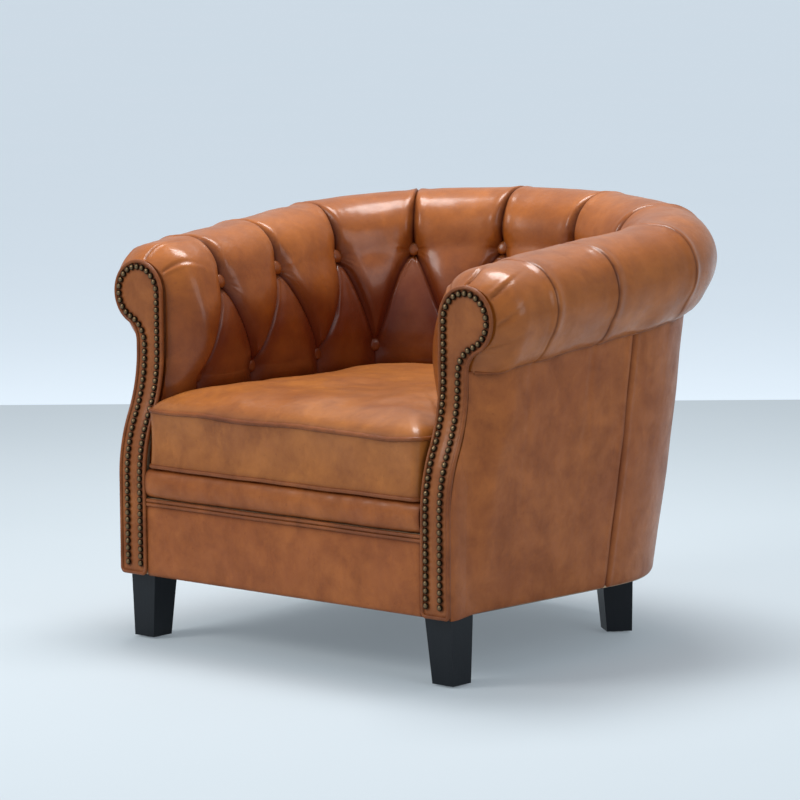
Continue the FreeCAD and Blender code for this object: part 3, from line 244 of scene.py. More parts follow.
class Finish:
    """One material: its Principled shader and the nodes that feed it."""

    def __init__(self, name, **fixed):
        self.material = bpy.data.materials.new(name)
        self.material.use_nodes = True
        self.nodes = self.material.node_tree.nodes
        self.links = self.material.node_tree.links
        self.shader = self.nodes["Principled BSDF"]
        for key, value in fixed.items():
            self.shader.inputs[key.replace("_", " ")].default_value = value

    def node(self, kind, settings, output=0, **sockets):
        """Adds a node: settings first, then a value or a link on each named or numbered socket."""
        made = self.nodes.new(kind)
        for key, value in settings.items():
            setattr(made, key, value)
        for key, value in sockets.items():
            inputs = made.inputs
            socket = inputs[int(key)] if key.isdigit() else inputs[key.replace("_", " ")]
            if isinstance(value, Value):
                self.links.new(value.socket, socket)
            else:
                socket.default_value = value
        return Value(self, made.outputs[output])

    def place(self):
        return self.node("ShaderNodeTexCoord", {}, output="Object")

    def mark(self, name):
        return self.node("ShaderNodeAttribute", {"attribute_name": name}, output="Fac")

    def cloud(self, place, scale, detail=3.0, roughness=0.55, distortion=0.0):
        return self.node("ShaderNodeTexNoise", {}, Vector=place, Scale=scale, Detail=detail,
                         Roughness=roughness, Distortion=distortion)

    def pores(self, place, scale):
        """Distance to the edges of small cells."""
        return self.node("ShaderNodeTexVoronoi", {"feature": "DISTANCE_TO_EDGE"}, Vector=place,
                         Scale=scale)

    def threads(self, place, scale, direction, distortion=0.0):
        """Bands across one direction, as the threads of a cloth."""
        return self.node("ShaderNodeTexWave", {"wave_type": "BANDS", "bands_direction": direction},
                         Vector=place, Scale=scale, Distortion=distortion)

    def stretched(self, place, scale):
        return self.node("ShaderNodeMapping", {}, Vector=place, Scale=scale)

    def between(self, value, low, high):
        """0 below low, 1 above high."""
        return self.node("ShaderNodeMapRange", {}, **{"Value": value, "From Min": low,
                                                      "From Max": high})

    def blend(self, share, first, second):
        made = self.nodes.new("ShaderNodeMix")
        made.data_type = "RGBA"
        for number, value in ((0, share), (6, first), (7, second)):
            if isinstance(value, Value):
                self.links.new(value.socket, made.inputs[number])
            else:
                made.inputs[number].default_value = value
        return Value(self, made.outputs[2])

    def bump(self, height, distance, strength=1.0, under=None):
        sockets = {"Height": height, "Distance": distance, "Strength": strength}
        if under is not None:
            sockets["Normal"] = under
        return self.node("ShaderNodeBump", {}, **sockets)

    def feed(self, **sockets):
        for key, value in sockets.items():
            self.links.new(value.socket, self.shader.inputs[key.replace("_", " ")])
        return self.material


def hide(name, light, middle, dark, gloss=0.40, coat=0.30, folds=True, grain=1.0):
    """Hand-waxed cowhide with a fine grain and a thin coat of wax.

    Clouds of three sizes mix its tones. It is orange on the high places, where it is rubbed,
    which the pieces mark as raised. Painted shade makes it brown to dark red, and it is duller,
    in the creases and recesses, which they mark as fold, and painted shade darkens the low
    inside, which they mark as shaded.
    """
    made = Finish(name, Coat_Roughness=0.20, IOR=1.40, Coat_IOR=1.45, Specular_IOR_Level=0.30)
    spot = made.place()
    broad = made.between(made.cloud(spot, 5.5, 4.0, 0.6, 0.4), 0.36, 0.66)
    patch = made.between(made.cloud(spot, 21.0, 5.0, 0.62, 0.3), 0.38, 0.68)
    fleck = made.between(made.cloud(spot, 95.0, 4.0, 0.7), 0.35, 0.75)
    pore = made.pores(spot, 620.0)
    colour = made.blend(broad, middle, light)
    colour = made.blend(patch * 0.64, colour, dark)
    colour = made.blend(fleck * 0.22, colour, light)
    hanging = made.stretched(spot, (1.0, 1.0, 0.45))
    worn = made.between(made.cloud(hanging, 38.0, 5.0, 0.7), 0.55, 0.8)
    colour = made.blend(worn * 0.28, colour, tuple(min(c * 1.5, 1.0) for c in light[:3]) + (1.0,))
    speck = made.between(made.cloud(spot, 190.0, 2.0, 0.5), 0.66, 0.74)
    colour = made.blend(speck * 0.35, colour, dark)
    rough = gloss + patch * 0.10 - broad * 0.05 + fleck * 0.06
    sheen = coat - patch * 0.12
    if folds:
        # Painted shade: the fold mark darkens creases and recesses toward a deep red-brown and the
        # shaded mark darkens the low inside; the raised mark lightens the rubbed high places.
        fold = made.mark("fold")
        colour = made.blend((fold * 0.92).limited(), colour,
                            (dark[0] * 0.42, dark[1] * 0.26, dark[2] * 0.25, 1.0))
        rough = rough + fold * 0.20
        sheen = (sheen - fold * 0.40).limited()
        raised = made.mark("raised")
        colour = made.blend((raised * 0.30).limited(), colour, light)
        shaded = made.mark("shaded")
        colour = made.blend((shaded * 0.88).limited(), colour,
                            (dark[0] * 1.0, dark[1] * 0.66, dark[2] * 0.6, 1.0))
    grained = pore.reckon("MINIMUM", 0.08)
    ripple = made.cloud(spot, 70.0, 3.0, 0.5)
    normal = made.bump(ripple, 0.0022, 0.30)
    normal = made.bump(grained * 6.0 + made.cloud(spot, 900.0, 2.0), 0.00028, 0.42 * grain,
                       under=normal)
    return made.feed(Base_Color=colour, Roughness=rough, Normal=normal,
                     Coat_Weight=sheen)


padding_leather = hide("buttoned_leather", (0.415, 0.120, 0.014, 1.0), (0.245, 0.060, 0.009, 1.0),
                       (0.115, 0.024, 0.006, 1.0), gloss=0.38, coat=0.56)


def hand_over(piece, material, body, slot, *nodes):
    """Gives a piece its finish and body, and hides the frame's nodes that it stands for. The slot
    is not used.
    """
    piece.data.materials.clear()
    piece.data.materials.append(material)
    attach(piece, body)
    if nodes:
        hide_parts(*nodes)


PLEATS = (93.0, 276.0, 478.0, 653.0, 792.0)
BUTTON_INSET = (68.0, 70.0, 82.0, 90.0, 90.0)
BUTTON_DROP = (28.0, 26.0, 16.0, 4.0, 0.0)
FRONT_BUTTON = 848.0
ROLL_RADIUS = 69.5
PLEAT_DEPTH, PLEAT_REACH = 4.5, 3.2
PILLOW_RISE, PILLOW_MIDDLE = 21.0, 25.0
SEAM_TURN = math.radians(-78.0)
TUCK_OUT = 14.0
FOLD_BOW = 15.0
PADDING_FOOT = 276.0
FACING_BACK = 9.5
HEAD_X, HEAD_Z, PADDING_HEAD = 338.5, 548.0, 50.5
NECK_X, NECK_Z, PADDING_NECK, NECK_TURN = 377.0, 470.5, 36.0, 2.031
STEM_SHARE = 0.22
FACING_INNER_X = 286.0


def lower_button_z(y):
    return 413.0 + 0.03 * y


def along_pleats(length, values):
    """Value at each length, straight between the pleats' values."""
    return np.interp(np.abs(length), (0.0,) + PLEATS + (2000.0,),
                     (values[0],) + tuple(values) + (values[-1],))


def well_out(length):
    """How far in from the roll's line the seat well lies."""
    x = ROLL.at(length)[0]
    on_arm = np.abs(length) > ROLL.bend_length
    return np.where(on_arm, (np.abs(x) - 265.0) / math.cos(ARM_SPLAY), 107.0)


def spread(count):
    """Shares 0 to 1, close together at both ends where the folds are."""
    return 0.5 - 0.5 * np.cos(np.linspace(0.0, math.pi, count + 1))


# Rows run in four zones: up the outer flank, over the crown to the upper buttons, down to the
# lower buttons and on to the foot. Columns run in strips between two folds: pillows, the
# tongues below the pleats, and the front ones that end at the facings.
FLANK, CROWN, FALL, FOOT = 0, 1, 2, 3
PILLOW, TONGUE, FRONT = 0, 1, 2
SEAM_ROWS, TOP_ROWS, FOLD_ROWS, FOOT_ROWS = 54, 44, 64, 24
row_zone = np.repeat([FLANK, CROWN, FALL, FOOT], (SEAM_ROWS, TOP_ROWS, FOLD_ROWS, FOOT_ROWS + 1))
row_share = np.concatenate([np.arange(n) / n for n in (SEAM_ROWS, TOP_ROWS, FOLD_ROWS)]
                           + [np.linspace(0.0, 1.0, FOOT_ROWS + 1)])


def block(high_left, high_right, low_left, low_right, count, strip):
    """Columns between two folds: side lengths above the buttons and below, eased between."""
    down = np.where(row_zone < FALL, 0.0, np.where(row_zone > FALL, 1.0, row_share))[:, None]
    left = mix(high_left, low_left, down)
    right = mix(high_right, low_right, down)
    share = spread(count)[None, :]
    length = mix(left, right, share)
    return {"length": length, "from_left": length - left, "from_right": right - length,
            "strip": np.full(length.shape, strip)}


pleat_line = [-p for p in reversed(PLEATS)] + list(PLEATS)
fold_line = [-FRONT_BUTTON] + [(a + b) / 2 for a, b in zip(pleat_line, pleat_line[1:])]
fold_line.append(FRONT_BUTTON)
end_length = ROLL.length_at(0.0)
blocks = [block(-end_length, pleat_line[0], -end_length, fold_line[0], 48, FRONT)]
for number, pleat in enumerate(pleat_line):
    blocks.append(block(pleat, pleat, fold_line[number], fold_line[number + 1], 30, TONGUE))
    if number < 9:
        middle = fold_line[number + 1]
        blocks.append(block(pleat, pleat_line[number + 1], middle, middle, 48, PILLOW))
blocks.append(block(pleat_line[-1], end_length, fold_line[-1], end_length, 48, FRONT))
length, from_left, from_right, strip = (np.concatenate([b[key] for b in blocks], 1)
                                       for key in ("length", "from_left", "from_right", "strip"))
shares = np.broadcast_to(row_share[:, None], length.shape)
zone = np.broadcast_to(row_zone[:, None], length.shape)
level = zone + shares


def padding_section(length):
    """Out and height off the roll's line of the pleats and folds, before any swell is added.

    From the seam a circle's flank eases out to the roll, a growing radius carries it over to
    the upper button, a bowed line goes down to the lower button, and a straight one to the foot.
    """
    y = ROLL.at(length)[1]
    inset, drop = along_pleats(length, BUTTON_INSET), along_pleats(length, BUTTON_DROP)
    well = well_out(length)
    radius = ROLL_RADIUS - PLEAT_DEPTH
    flank = mix(SEAM_TURN, math.pi / 2, shares)
    flank_radius = radius + TUCK_OUT * smooth((math.radians(-36.0) - flank) / math.radians(42.0))
    crown = mix(math.pi / 2, math.pi + np.arctan2(drop, inset), shares)
    crown_radius = mix(radius, np.hypot(inset, drop), smooth(shares * 0.94 + 0.03))
    low = lower_button_z(y) - roll_z(y)
    bow = 4.0 * shares * (1.0 - shares)
    chord = np.hypot(well - inset, low + drop)
    fold_out = -mix(inset, well, shares) - FOLD_BOW * bow * (-low - drop) / chord
    fold_z = mix(-drop, low, shares) + FOLD_BOW * bow * (well - inset) / chord
    foot_out = -well + 2.0 * smooth(shares * 3.0)
    foot_z = mix(low, PADDING_FOOT - roll_z(y), shares ** 1.3)
    out = np.select([zone == FLANK, zone == CROWN, zone == FALL],
                    [flank_radius * np.cos(flank), crown_radius * np.cos(crown), fold_out],
                    foot_out)
    height = np.select([zone == FLANK, zone == CROWN, zone == FALL],
                       [flank_radius * np.sin(flank), crown_radius * np.sin(crown), fold_z],
                       foot_z)
    return out, height


def head_section(length, height):
    """The same lines at the facing: neck fillet, scroll's circle, straight down the inner edge."""
    x, y = (np.abs(value) for value in ROLL.at(length)[:2])
    centre_out, centre_z = HEAD_X - x, HEAD_Z - roll_z(y)
    over = np.clip((shares - STEM_SHARE) / (1.0 - STEM_SHARE), 0.0, 1.0)
    turn = np.where(zone == FLANK, mix(math.radians(-63.6), math.pi / 2, over),
                    mix(math.pi / 2, math.pi, shares))
    out = centre_out + PADDING_HEAD * np.cos(turn)
    z = centre_z + PADDING_HEAD * np.sin(turn)
    below = np.where(zone == FLANK, np.clip(1.0 - shares / STEM_SHARE, 0.0, 1.0), 0.0)
    fillet = mix(NECK_TURN, math.pi, below)
    out = np.where(below > 0.0, NECK_X - x + PADDING_NECK * np.cos(fillet), out)
    z = np.where(below > 0.0, NECK_Z - roll_z(y) + PADDING_NECK * np.sin(fillet), z)
    straight = zone > CROWN
    out = np.where(straight, FACING_INNER_X + 2.0 - x, out)
    z = np.where(straight & (zone == FALL), mix(centre_z, height, smooth(shares * 2.5)), z)
    return out, np.where(zone == FOOT, height, z)


# Where each column of the front blocks ends against the facing, by its height
abs_z = roll_z(ROLL.at(length)[1]) + padding_section(length)[1]
facing_at = ROLL.length_at(np.where(zone < FALL, HEAD_FRONT, sweep_y(abs_z)) + FACING_BACK)
in_front = strip == FRONT
side = np.where(length < 0, -1.0, 1.0)
inner_end = np.where(side > 0, length - from_left, length + from_right)
share_out = np.where(in_front, (np.abs(length) - np.abs(inner_end))
                     / (end_length - np.abs(inner_end)), 0.0)
length = np.where(in_front, side * mix(np.abs(inner_end), facing_at, share_out), length)

x_line, y_line, nx, ny = ROLL.at(length)
out, height = padding_section(length)
out_step, height_step = np.gradient(out, axis=0), np.gradient(height, axis=0)
size = np.hypot(out_step, height_step)
normal_out, normal_z = height_step / size, -out_step / size

# The plan's bend, eased where it changes, tells how much closer the folds are further in
bend = mix(1.0 / ROLL.back_radius, 1.0 / ROLL.radius,
           smooth((np.abs(length) - ROLL.back_length + 40.0) / 80.0))
bend = mix(bend, 0.0, smooth((np.abs(length) - ROLL.bend_length + 40.0) / 80.0))
stretch = np.clip(1.0 + out * bend, 0.3, 1.5)
left_gap, right_gap = from_left * stretch, from_right * stretch
left_gap = np.where(in_front & (length < 0), 1e3, left_gap)
right_gap = np.where(in_front & (length > 0), 1e3, right_gap)
reach = np.select([zone == FLANK, zone == CROWN, zone == FALL],
                  [PLEAT_REACH + 0.0 * shares, mix(PLEAT_REACH, 18.0, smooth(shares) ** 2.0),
                   18.0 + 7.0 * shares], 24.0)
reach = np.where(strip == TONGUE, 24.0, reach)
swell = (1.0 - np.exp(-left_gap / reach)) * (1.0 - np.exp(-right_gap / reach))
swell = swell ** np.where(strip == TONGUE, 0.85, mix(0.9, 0.62, smooth((level - 1.0) / 0.8)))
rise = np.select([zone == FLANK, zone == CROWN, zone == FALL],
                 [PLEAT_DEPTH + 0.0 * shares, mix(PLEAT_DEPTH, PILLOW_RISE, smooth(shares * 1.15)),
                  mix(PILLOW_RISE, PILLOW_MIDDLE, np.sin(math.pi * shares))], 14.0)
rise = np.where(strip == TONGUE, mix(9.0, 15.0, shares), rise)
foot_z = roll_z(y_line) + height
rise = np.where(zone == FOOT, 15.0 * smooth((foot_z - 370.0) / 44.0), rise)
lift = rise * swell * np.where(in_front & (zone > FLANK), 0.78, 1.0)

# Lips beside the folds; the pillows' edges are laid over them once the buttons are known
gap = np.minimum(left_gap, right_gap)
inside = smooth((level - 1.35) / 0.35) * smooth((3.15 - level) / 0.3)
lift += np.where(strip == TONGUE, 1.3 * np.exp(-((gap - 6.0) / 3.4) ** 2), 0.0) * inside
on_roll = smooth((1.55 - level) / 0.4)
rear_gap = np.where(length > 0, left_gap, right_gap)
lift += 1.5 * np.exp(-((rear_gap - 3.6) / 1.7) ** 2) * on_roll * (strip != TONGUE)

# Buttons draw the leather in; short puckers run out from each
button_list = []
for number, pleat in enumerate(pleat_line):
    index = 4 - number if number < 5 else number - 5
    button_list.append((pleat, BUTTON_INSET[index], -BUTTON_DROP[index], True))
for fold in fold_line:
    y = float(ROLL.at(np.array(fold))[1])
    button_list.append((fold, float(well_out(np.array(fold))), lower_button_z(y) - roll_z(y),
                        False))


def in_space(length, out, height):
    x, y, ox, oy = ROLL.at(length)
    return x + ox * out, y + oy * out, roll_z(y) + height


px, py, pz = in_space(length, out, height)
rng = np.random.default_rng(7)
pit = np.zeros(length.shape)
button_near = np.full(length.shape, 1e3)
button_points = []
for at_length, inset, drop, upper in button_list:
    bx, by, bz = in_space(np.array(at_length), -inset, drop)
    button_points.append((float(bx), float(by), float(bz), at_length, upper))
    away = np.sqrt((px - bx) ** 2 + (py - by) ** 2 + (pz - bz) ** 2)
    button_near = np.minimum(button_near, away)
    pit += (8.5 if upper else 6.5) * np.exp(-(away / 18.5) ** 2)
    bearing = np.arctan2((length - at_length) * stretch, -(pz - bz))
    for _ in range(9 if upper else 4):
        aim = rng.uniform(-0.95, 0.95) if rng.random() < 0.6 else rng.uniform(-3.1, 3.1)
        wide = rng.uniform(0.05, 0.09)
        far = rng.uniform(15.0, 34.0)
        turn_off = (bearing - aim + math.pi) % (2.0 * math.pi) - math.pi
        groove = np.exp(-(turn_off / wide) ** 2) - 0.35 * np.exp(-(turn_off / (2.2 * wide)) ** 2)
        pit += (rng.uniform(1.4, 2.9) * groove * smooth((away - 7.0) / 6.0)
                * np.where(strip == TONGUE, smooth((30.0 - away) / 16.0), 1.0)
                * np.exp(-((away - 9.0) / far) ** 2))
lift -= pit
lap = 5.2 * (1.0 - np.exp(-gap / 1.6)) * np.exp(-gap / 8.5) * inside
lap = lap * smooth((button_near - 6.0) / 20.0)
lap = np.where(strip == TONGUE, 0.0, lap) * np.where(left_gap < right_gap, -1.0, 1.0)

# Gathers where the leather is worked round the scroll head: short folds, deep near the facing
from_facing = np.where(in_front, np.abs(np.abs(length) - np.abs(facing_at)), 1e3)
sweep_turn = np.where(zone == FLANK, mix(-82.0, 90.0, shares), mix(90.0, 180.0, shares))
crimps = np.zeros(length.shape)
for aim, wide, far, deep in ((-36.0, 3.0, 26.0, 1.8), (4.0, 2.8, 30.0, 2.0), (46.0, 2.6, 44.0, 3.2),
                             (98.0, 2.4, 48.0, 3.8), (142.0, 2.6, 42.0, 3.0)):
    off = (sweep_turn - aim - from_facing * 0.30) / wide
    fall = np.exp(-(from_facing / far) ** 2) * smooth(from_facing / 5.0) * (zone < FALL)
    crimps += deep * (np.exp(-off ** 2) - 0.75 * np.exp(-((off - 2.0) / 1.1) ** 2)) * fall

points = place(px, py, pz)
lift += 0.75 * undulation(points, 85.0, 3) * smooth(gap / 12.0)
lift += 0.28 * undulation(points, 31.0, 4) * smooth(gap / 8.0)

# The front blocks grow out of the scroll head's shape
head_out, head_z = head_section(length, height)
start_y = mix(51.0, np.where(zone < FALL, HEAD_FRONT, sweep_y(foot_z)) + FACING_BACK,
              smooth((foot_z - 388.0) / 34.0))
growth = np.clip((y_line - start_y) / 44.0, 0.0, 1.0)
grown = np.where(in_front, np.sin(0.5 * math.pi * growth) ** 0.85, 1.0)
full_out, full_z = out + normal_out * lift, height + normal_z * lift

# Away from the folds the leather passes the buttons' level without a break
spans = np.arange(-20, 21)
weights = np.exp(-(spans / 8.5) ** 2)
last_row = len(row_zone) - 1
rows = np.arange(last_row + 1)
soft_out, soft_z = (sum(w * value[np.clip(rows + span, 0, last_row)]
                        for span, w in zip(spans, weights)) / weights.sum()
                    for value in (full_out, full_z))
rows = rows[:, None]
soften = np.where(strip == TONGUE, 0.0, smooth((gap - 3.0) / 20.0))
soften = soften * smooth(rows / 20.0) * smooth((last_row - rows) / 20.0)
full_out, full_z = mix(full_out, soft_out, soften), mix(full_z, soft_z, soften)
full_out = mix(head_out, full_out, grown) - normal_out * crimps
full_z = mix(head_z, full_z, grown) - normal_z * crimps
px, py, pz = in_space(length - lap / np.maximum(stretch, 0.3), full_out, full_z)
py = np.where(in_front, np.maximum(py, sweep_y(pz) + FACING_BACK), py)
padding = place(px, py, pz)
tuck_high = place(*in_space(length[0], full_out[0] - 34.0, full_z[0] + 22.0))
behind = 48.0 * smooth(1.0 - from_facing[-1] / 130.0)
tuck_low = place(px[-1] + nx[-1] * 26.0, py[-1] + ny[-1] * 26.0 + behind, pz[-1] + 8.0)
# Painted shade: the fold mark darkens the leather in the folds, round the buttons, in the gathers,
# low down by the seat and deep between the pillows. The shaded mark is painted shade down the low
# inside, at three quarters on the +X side.
crease_shade_mark = np.exp(-gap / np.where(zone < CROWN, 2.6, 1.7))
crease_shade_mark += 0.5 * np.exp(-(button_near / 12.0) ** 2)
crease_shade_mark += 0.28 * np.clip(crimps, 0.0, 3.0)
crease_shade_mark += 0.55 * smooth((408.0 - pz) / 40.0) * (zone == FOOT)
deep = np.clip(1.0 - swell, 0.0, 1.0) * smooth((level - 1.4) / 0.6)
crease_shade_mark = np.clip(crease_shade_mark + 0.30 * deep ** 2, 0.0, 1.0)
low_inside = smooth((level - 1.45) / 1.3)
raised_mark = smooth((swell - 0.55) / 0.45) * mix(1.0, 0.3, low_inside)
shaded_mark = low_inside * mix(1.0, 0.55, smooth((swell - 0.5) / 0.5))
shaded_mark = shaded_mark * np.where(x_line < 60.0, 1.0, 0.75)

column_block = np.concatenate([np.full(b["length"].shape[1], n) for n, b in enumerate(blocks)])
parts = (("arm_right_inside", 0, 5, "inside_arm_right"), ("back_inside", 6, 14, "inside_back"),
         ("arm_left_inside", 15, 20, "inside_arm_left"))
for name, first_block, last_block, node in parts:
    columns = np.flatnonzero((column_block >= first_block) & (column_block <= last_block))
    face = padding[:, columns]
    face = np.concatenate([face, tuck_low[None, columns], tuck_high[None, columns], face[:1]])
    marks = {"fold": crease_shade_mark[:, columns], "raised": raised_mark[:, columns],
             "shaded": shaded_mark[:, columns]}
    marks = {key: np.concatenate([value, value[-1:], value[:1], value[:1]])
             for key, value in marks.items()}
    piece = closed_skin(name, [face], marks, end_caps(face))
    hand_over(piece, padding_leather, "chair", "cover_leather", node)


# Buttons
# Round leather buttons, each a disc of the same hide drawn over a metal mould and pulled into
# the padding by a twine that goes through to the frame.

BUTTON_RADIUS, BUTTON_RISE, BUTTON_SINK = 11.6, 7.4, 2.0


def button_skin(centre, outward):
    """Grid of a dome: superellipse from its top to the rim, then tucked in under the rim.

    A ring at t has radius R sin(t)^0.8 and height H cos(t)^0.8, and two more close it behind.
    """
    outward = outward / np.linalg.norm(outward)
    side = np.cross(outward, (0.0, 0.0, 1.0))
    side /= np.linalg.norm(side)
    rise = np.cross(side, outward)
    t = np.linspace(0.0, math.pi / 2, 9)
    radius = np.append(BUTTON_RADIUS * np.sin(t) ** 0.8, (10.4, 7.8, 0.0))
    height = np.append(BUTTON_RISE * np.cos(t) ** 0.8, (-2.4, -4.5, -4.5))
    turn = np.linspace(0.0, 2.0 * math.pi, 25)[None, :, None]
    radius, height = radius[:, None, None], height[:, None, None]
    ring = np.cos(turn) * side + np.sin(turn) * rise
    ring[:, -1] = ring[:, 0]
    return placed(centre + radius * ring + height * outward)


skins, in_shade = [], []
for bx, by, bz, at_length, upper in button_points:
    _, _, ox, oy = (float(v) for v in ROLL.at(np.array(at_length)))
    tip = 0.34 if upper else 0.10
    outward = np.array((-ox, -oy, tip))
    sink = BUTTON_SINK + (-1.0 if upper else 4.5 if abs(at_length) > 330.0 else 0.0)
    centre = np.array((bx, by, bz)) - sink * outward / np.linalg.norm(outward)
    skins.append(button_skin(centre, outward))
    in_shade.append(np.full(skins[-1].shape[:2], 0.45 if upper else 0.85))
# Painted shade on the buttons: the shaded mark darkens each, the lower ones more, and the fold mark
# darkens them under the rim.
button_rim_shade = np.repeat(np.array((0.0,) * 6 + (0.15, 0.5, 0.85, 1.0, 1.0, 1.0))[:, None], 25, 1)
buttons = closed_skin("buttons", skins, {"shaded": np.stack(in_shade),
                                         "fold": np.stack([button_rim_shade] * len(skins))})
hand_over(buttons, padding_leather, "chair", "cover_leather", "tuft_buttons")


# Outside leather
# Three panels of hide stretched over the frame from the seam under the roll to the underside:
# one each side and one round the back. They meet in a sewn seam behind each arm.

outside_leather = hide("outside_leather", (0.40, 0.118, 0.022, 1.0), (0.295, 0.078, 0.016, 1.0),
                       (0.175, 0.043, 0.011, 1.0), gloss=0.42, coat=0.26)
BASE = TubLine((101.0, 400.0), 247.0, 684.0, ARM_SPLAY)
UNDERSIDE = 105.0
PANEL_SEAM_Y, PANEL_SEAM_LEAN = 368.0, 0.055
HIDE_THICKNESS = 2.5
PANEL_FRONT, PANEL_TOP = 4.6, 478.0
PANEL_ROWS = 72
FACING_OUTER_X = 343.0
seam_length = length[0]
seam_out, seam_up = full_out[0], full_z[0]


def slab(face, back):
    """Grids of a closed sheet: face, back turned over, and the four edges between them."""
    return [face, back[:, ::-1], np.stack([back[0], face[0]]), np.stack([face[-1], back[-1]]),
            np.stack([face[:, 0], back[:, 0]]), np.stack([back[:, -1], face[:, -1]])]


def seam_point(at_length):
    """Where the panels meet the roll: the padding's outer row, a little way in under it."""
    x, y, ox, oy = ROLL.at(at_length)
    out = np.interp(at_length, seam_length, seam_out) - 2.0
    up = np.interp(at_length, seam_length, seam_up) + 2.5
    return x + ox * out, y + oy * out, roll_z(y) + up


def base_point(at_length):
    """Bottom edge of the panels below a length of the roll."""
    run = np.abs(at_length)
    corner = (ROLL.bend_length - run) / (ROLL.bend_length - ROLL.back_length)
    half = np.where(run > ROLL.back_length, 0.5 * corner,
                    0.5 + 0.5 * (ROLL.back_length - run) / ROLL.back_length)
    x, y = BASE.bend(np.clip(half / 2.0, 0.0, 0.5))
    roll_y = ROLL.at(at_length)[1]
    arm_y = roll_y * BASE.arm_start()[1] / ROLL.arm_start()[1]
    on_arm = run > ROLL.bend_length
    x = np.where(on_arm, BASE.arm_x(arm_y), x)
    return np.where(at_length < 0, -x, x), np.where(on_arm, arm_y, y)


def panel_skin(low_length, high_length, heights, ripple_seed):
    """Grid of leather stretched between the two edges.

    A point is top * t + bottom * (1 - t) with a fullness of 3 sin(pi t), rolled under in the
    last 8 mm, pressed in along its seam, and drawn in to the facing's edge over 75 mm.
    """
    share = heights[:, None]
    top = [value[None, :] for value in seam_point(high_length)]
    low = [value[None, :] for value in base_point(low_length)]
    x, y = mix(low[0], top[0], share), mix(low[1], top[1], share)
    z = mix(UNDERSIDE, top[2], share)
    at = mix(low_length[None, :], high_length[None, :], share)
    _, _, ox, oy = ROLL.at(at)
    under = np.clip(1.0 - (z - UNDERSIDE) / 8.0, 0.0, 1.0)
    swell = 3.0 * np.sin(math.pi * share) - 5.0 * (1.0 - np.sqrt(1.0 - under ** 2))
    swell = swell + 0.9 * undulation(place(x, y, z), 140.0, ripple_seed) * np.sin(math.pi * share)
    from_seam = np.abs(y - PANEL_SEAM_Y - PANEL_SEAM_LEAN * (z - 100.0))
    near_arm = np.abs(at) > ROLL.bend_length - 60.0
    seam = np.where(near_arm, 1.9 * np.exp(-(from_seam / 3.2) ** 2)
                    - 0.9 * np.exp(-((from_seam - 8.0) / 4.0) ** 2), 0.0)
    swell = swell - seam
    edge = sweep_y(z) + PANEL_FRONT
    ahead = np.maximum(y - edge, 0.0)
    held = smooth(ahead / 80.0)
    roll_out = 3.6 * (1.0 - np.exp(-ahead / 9.0)) * np.exp(-ahead / 60.0)
    on_arm = np.abs(at) > ROLL.bend_length
    x_free = x + ox * swell
    x_held = mix(FACING_OUTER_X - 1.4, np.abs(x_free), held) + roll_out
    x = np.where(on_arm, np.sign(x) * x_held, x_free)
    y = np.where(on_arm, y, y + oy * swell)
    # Painted shade in the fold mark: darker along the sewn seam behind the arm, along the top under
    # the roll and along the bottom edge.
    fold = np.exp(-from_seam / 2.5) * near_arm * 0.8 + 0.6 * np.exp(-(1.0 - share) * 110.0)
    fold = fold + 0.30 * np.exp(-(z - UNDERSIDE) / 14.0)
    skin = place(x, y, z)
    inner = place(x - ox * HIDE_THICKNESS, y - oy * HIDE_THICKNESS, z)
    return skin, inner, np.clip(fold, 0.0, 1.0)


heights = np.linspace(0.0, 1.0, PANEL_ROWS + 1) ** 0.9
heights = np.sort(np.concatenate([heights, [0.004, 0.008, 0.015, 0.97, 0.985]]))
seam_top_y = PANEL_SEAM_Y + PANEL_SEAM_LEAN * 400.0
low_seam = ROLL.length_at(PANEL_SEAM_Y * ROLL.arm_start()[1] / BASE.arm_start()[1])
high_seam = ROLL.length_at(seam_top_y)
close = np.append(0.0, np.cumsum(np.linspace(0.4, 1.6, 16))) / 16.0
for side, name, node in ((1.0, "left", "outside_side_left"), (-1.0, "right", "outside_side_right")):
    # The front limit follows the facing's sweep, so the columns are taken row by row
    share = np.concatenate([1.0 - close[::-1] * 0.1, np.linspace(0.9, 0.0, 56)[1:]])[::-1]
    front_y = sweep_y(mix(UNDERSIDE, PANEL_TOP, heights)) + PANEL_FRONT
    rows = []
    for height, front in zip(heights, front_y):
        low_y = front * ROLL.arm_start()[1] / mix(BASE.arm_start()[1], ROLL.arm_start()[1], height)
        ends = side * ROLL.length_at(low_y)
        low_ends = mix(side * low_seam, ends, share)
        high_ends = mix(side * high_seam, ends, share)
        if side < 0:
            low_ends, high_ends = low_ends[::-1], high_ends[::-1]
        rows.append(panel_skin(low_ends, high_ends, np.array([height]), 11))
    skin, inner, fold = (np.concatenate([row[i] for row in rows]) for i in range(3))
    panel = closed_skin("outside_" + name, slab(skin, inner), {"fold": fold})
    hand_over(panel, outside_leather, "chair", "cover_leather", node)

across = np.concatenate([-1.0 + close * 0.06, np.linspace(-0.94, 0.94, 150)[1:-1],
                         1.0 - close[::-1] * 0.06])
skin, inner, fold = panel_skin(across * low_seam, across * high_seam, heights, 12)
back_panel = closed_skin("outside_back_panel", slab(skin, inner), {"fold": fold})
hand_over(back_panel, outside_leather, "chair", "cover_leather", "outside_back")


# Seam under the roll
# The roll's leather is turned under and sewn down in a thin hem along the top of the panels.

piping_leather = hide("piping_leather", (0.30, 0.086, 0.018, 1.0), (0.20, 0.052, 0.013, 1.0),
                      (0.10, 0.025, 0.008, 1.0), gloss=0.38, coat=0.22, folds=False)
UP = (0.0, 0.0, 1.0)


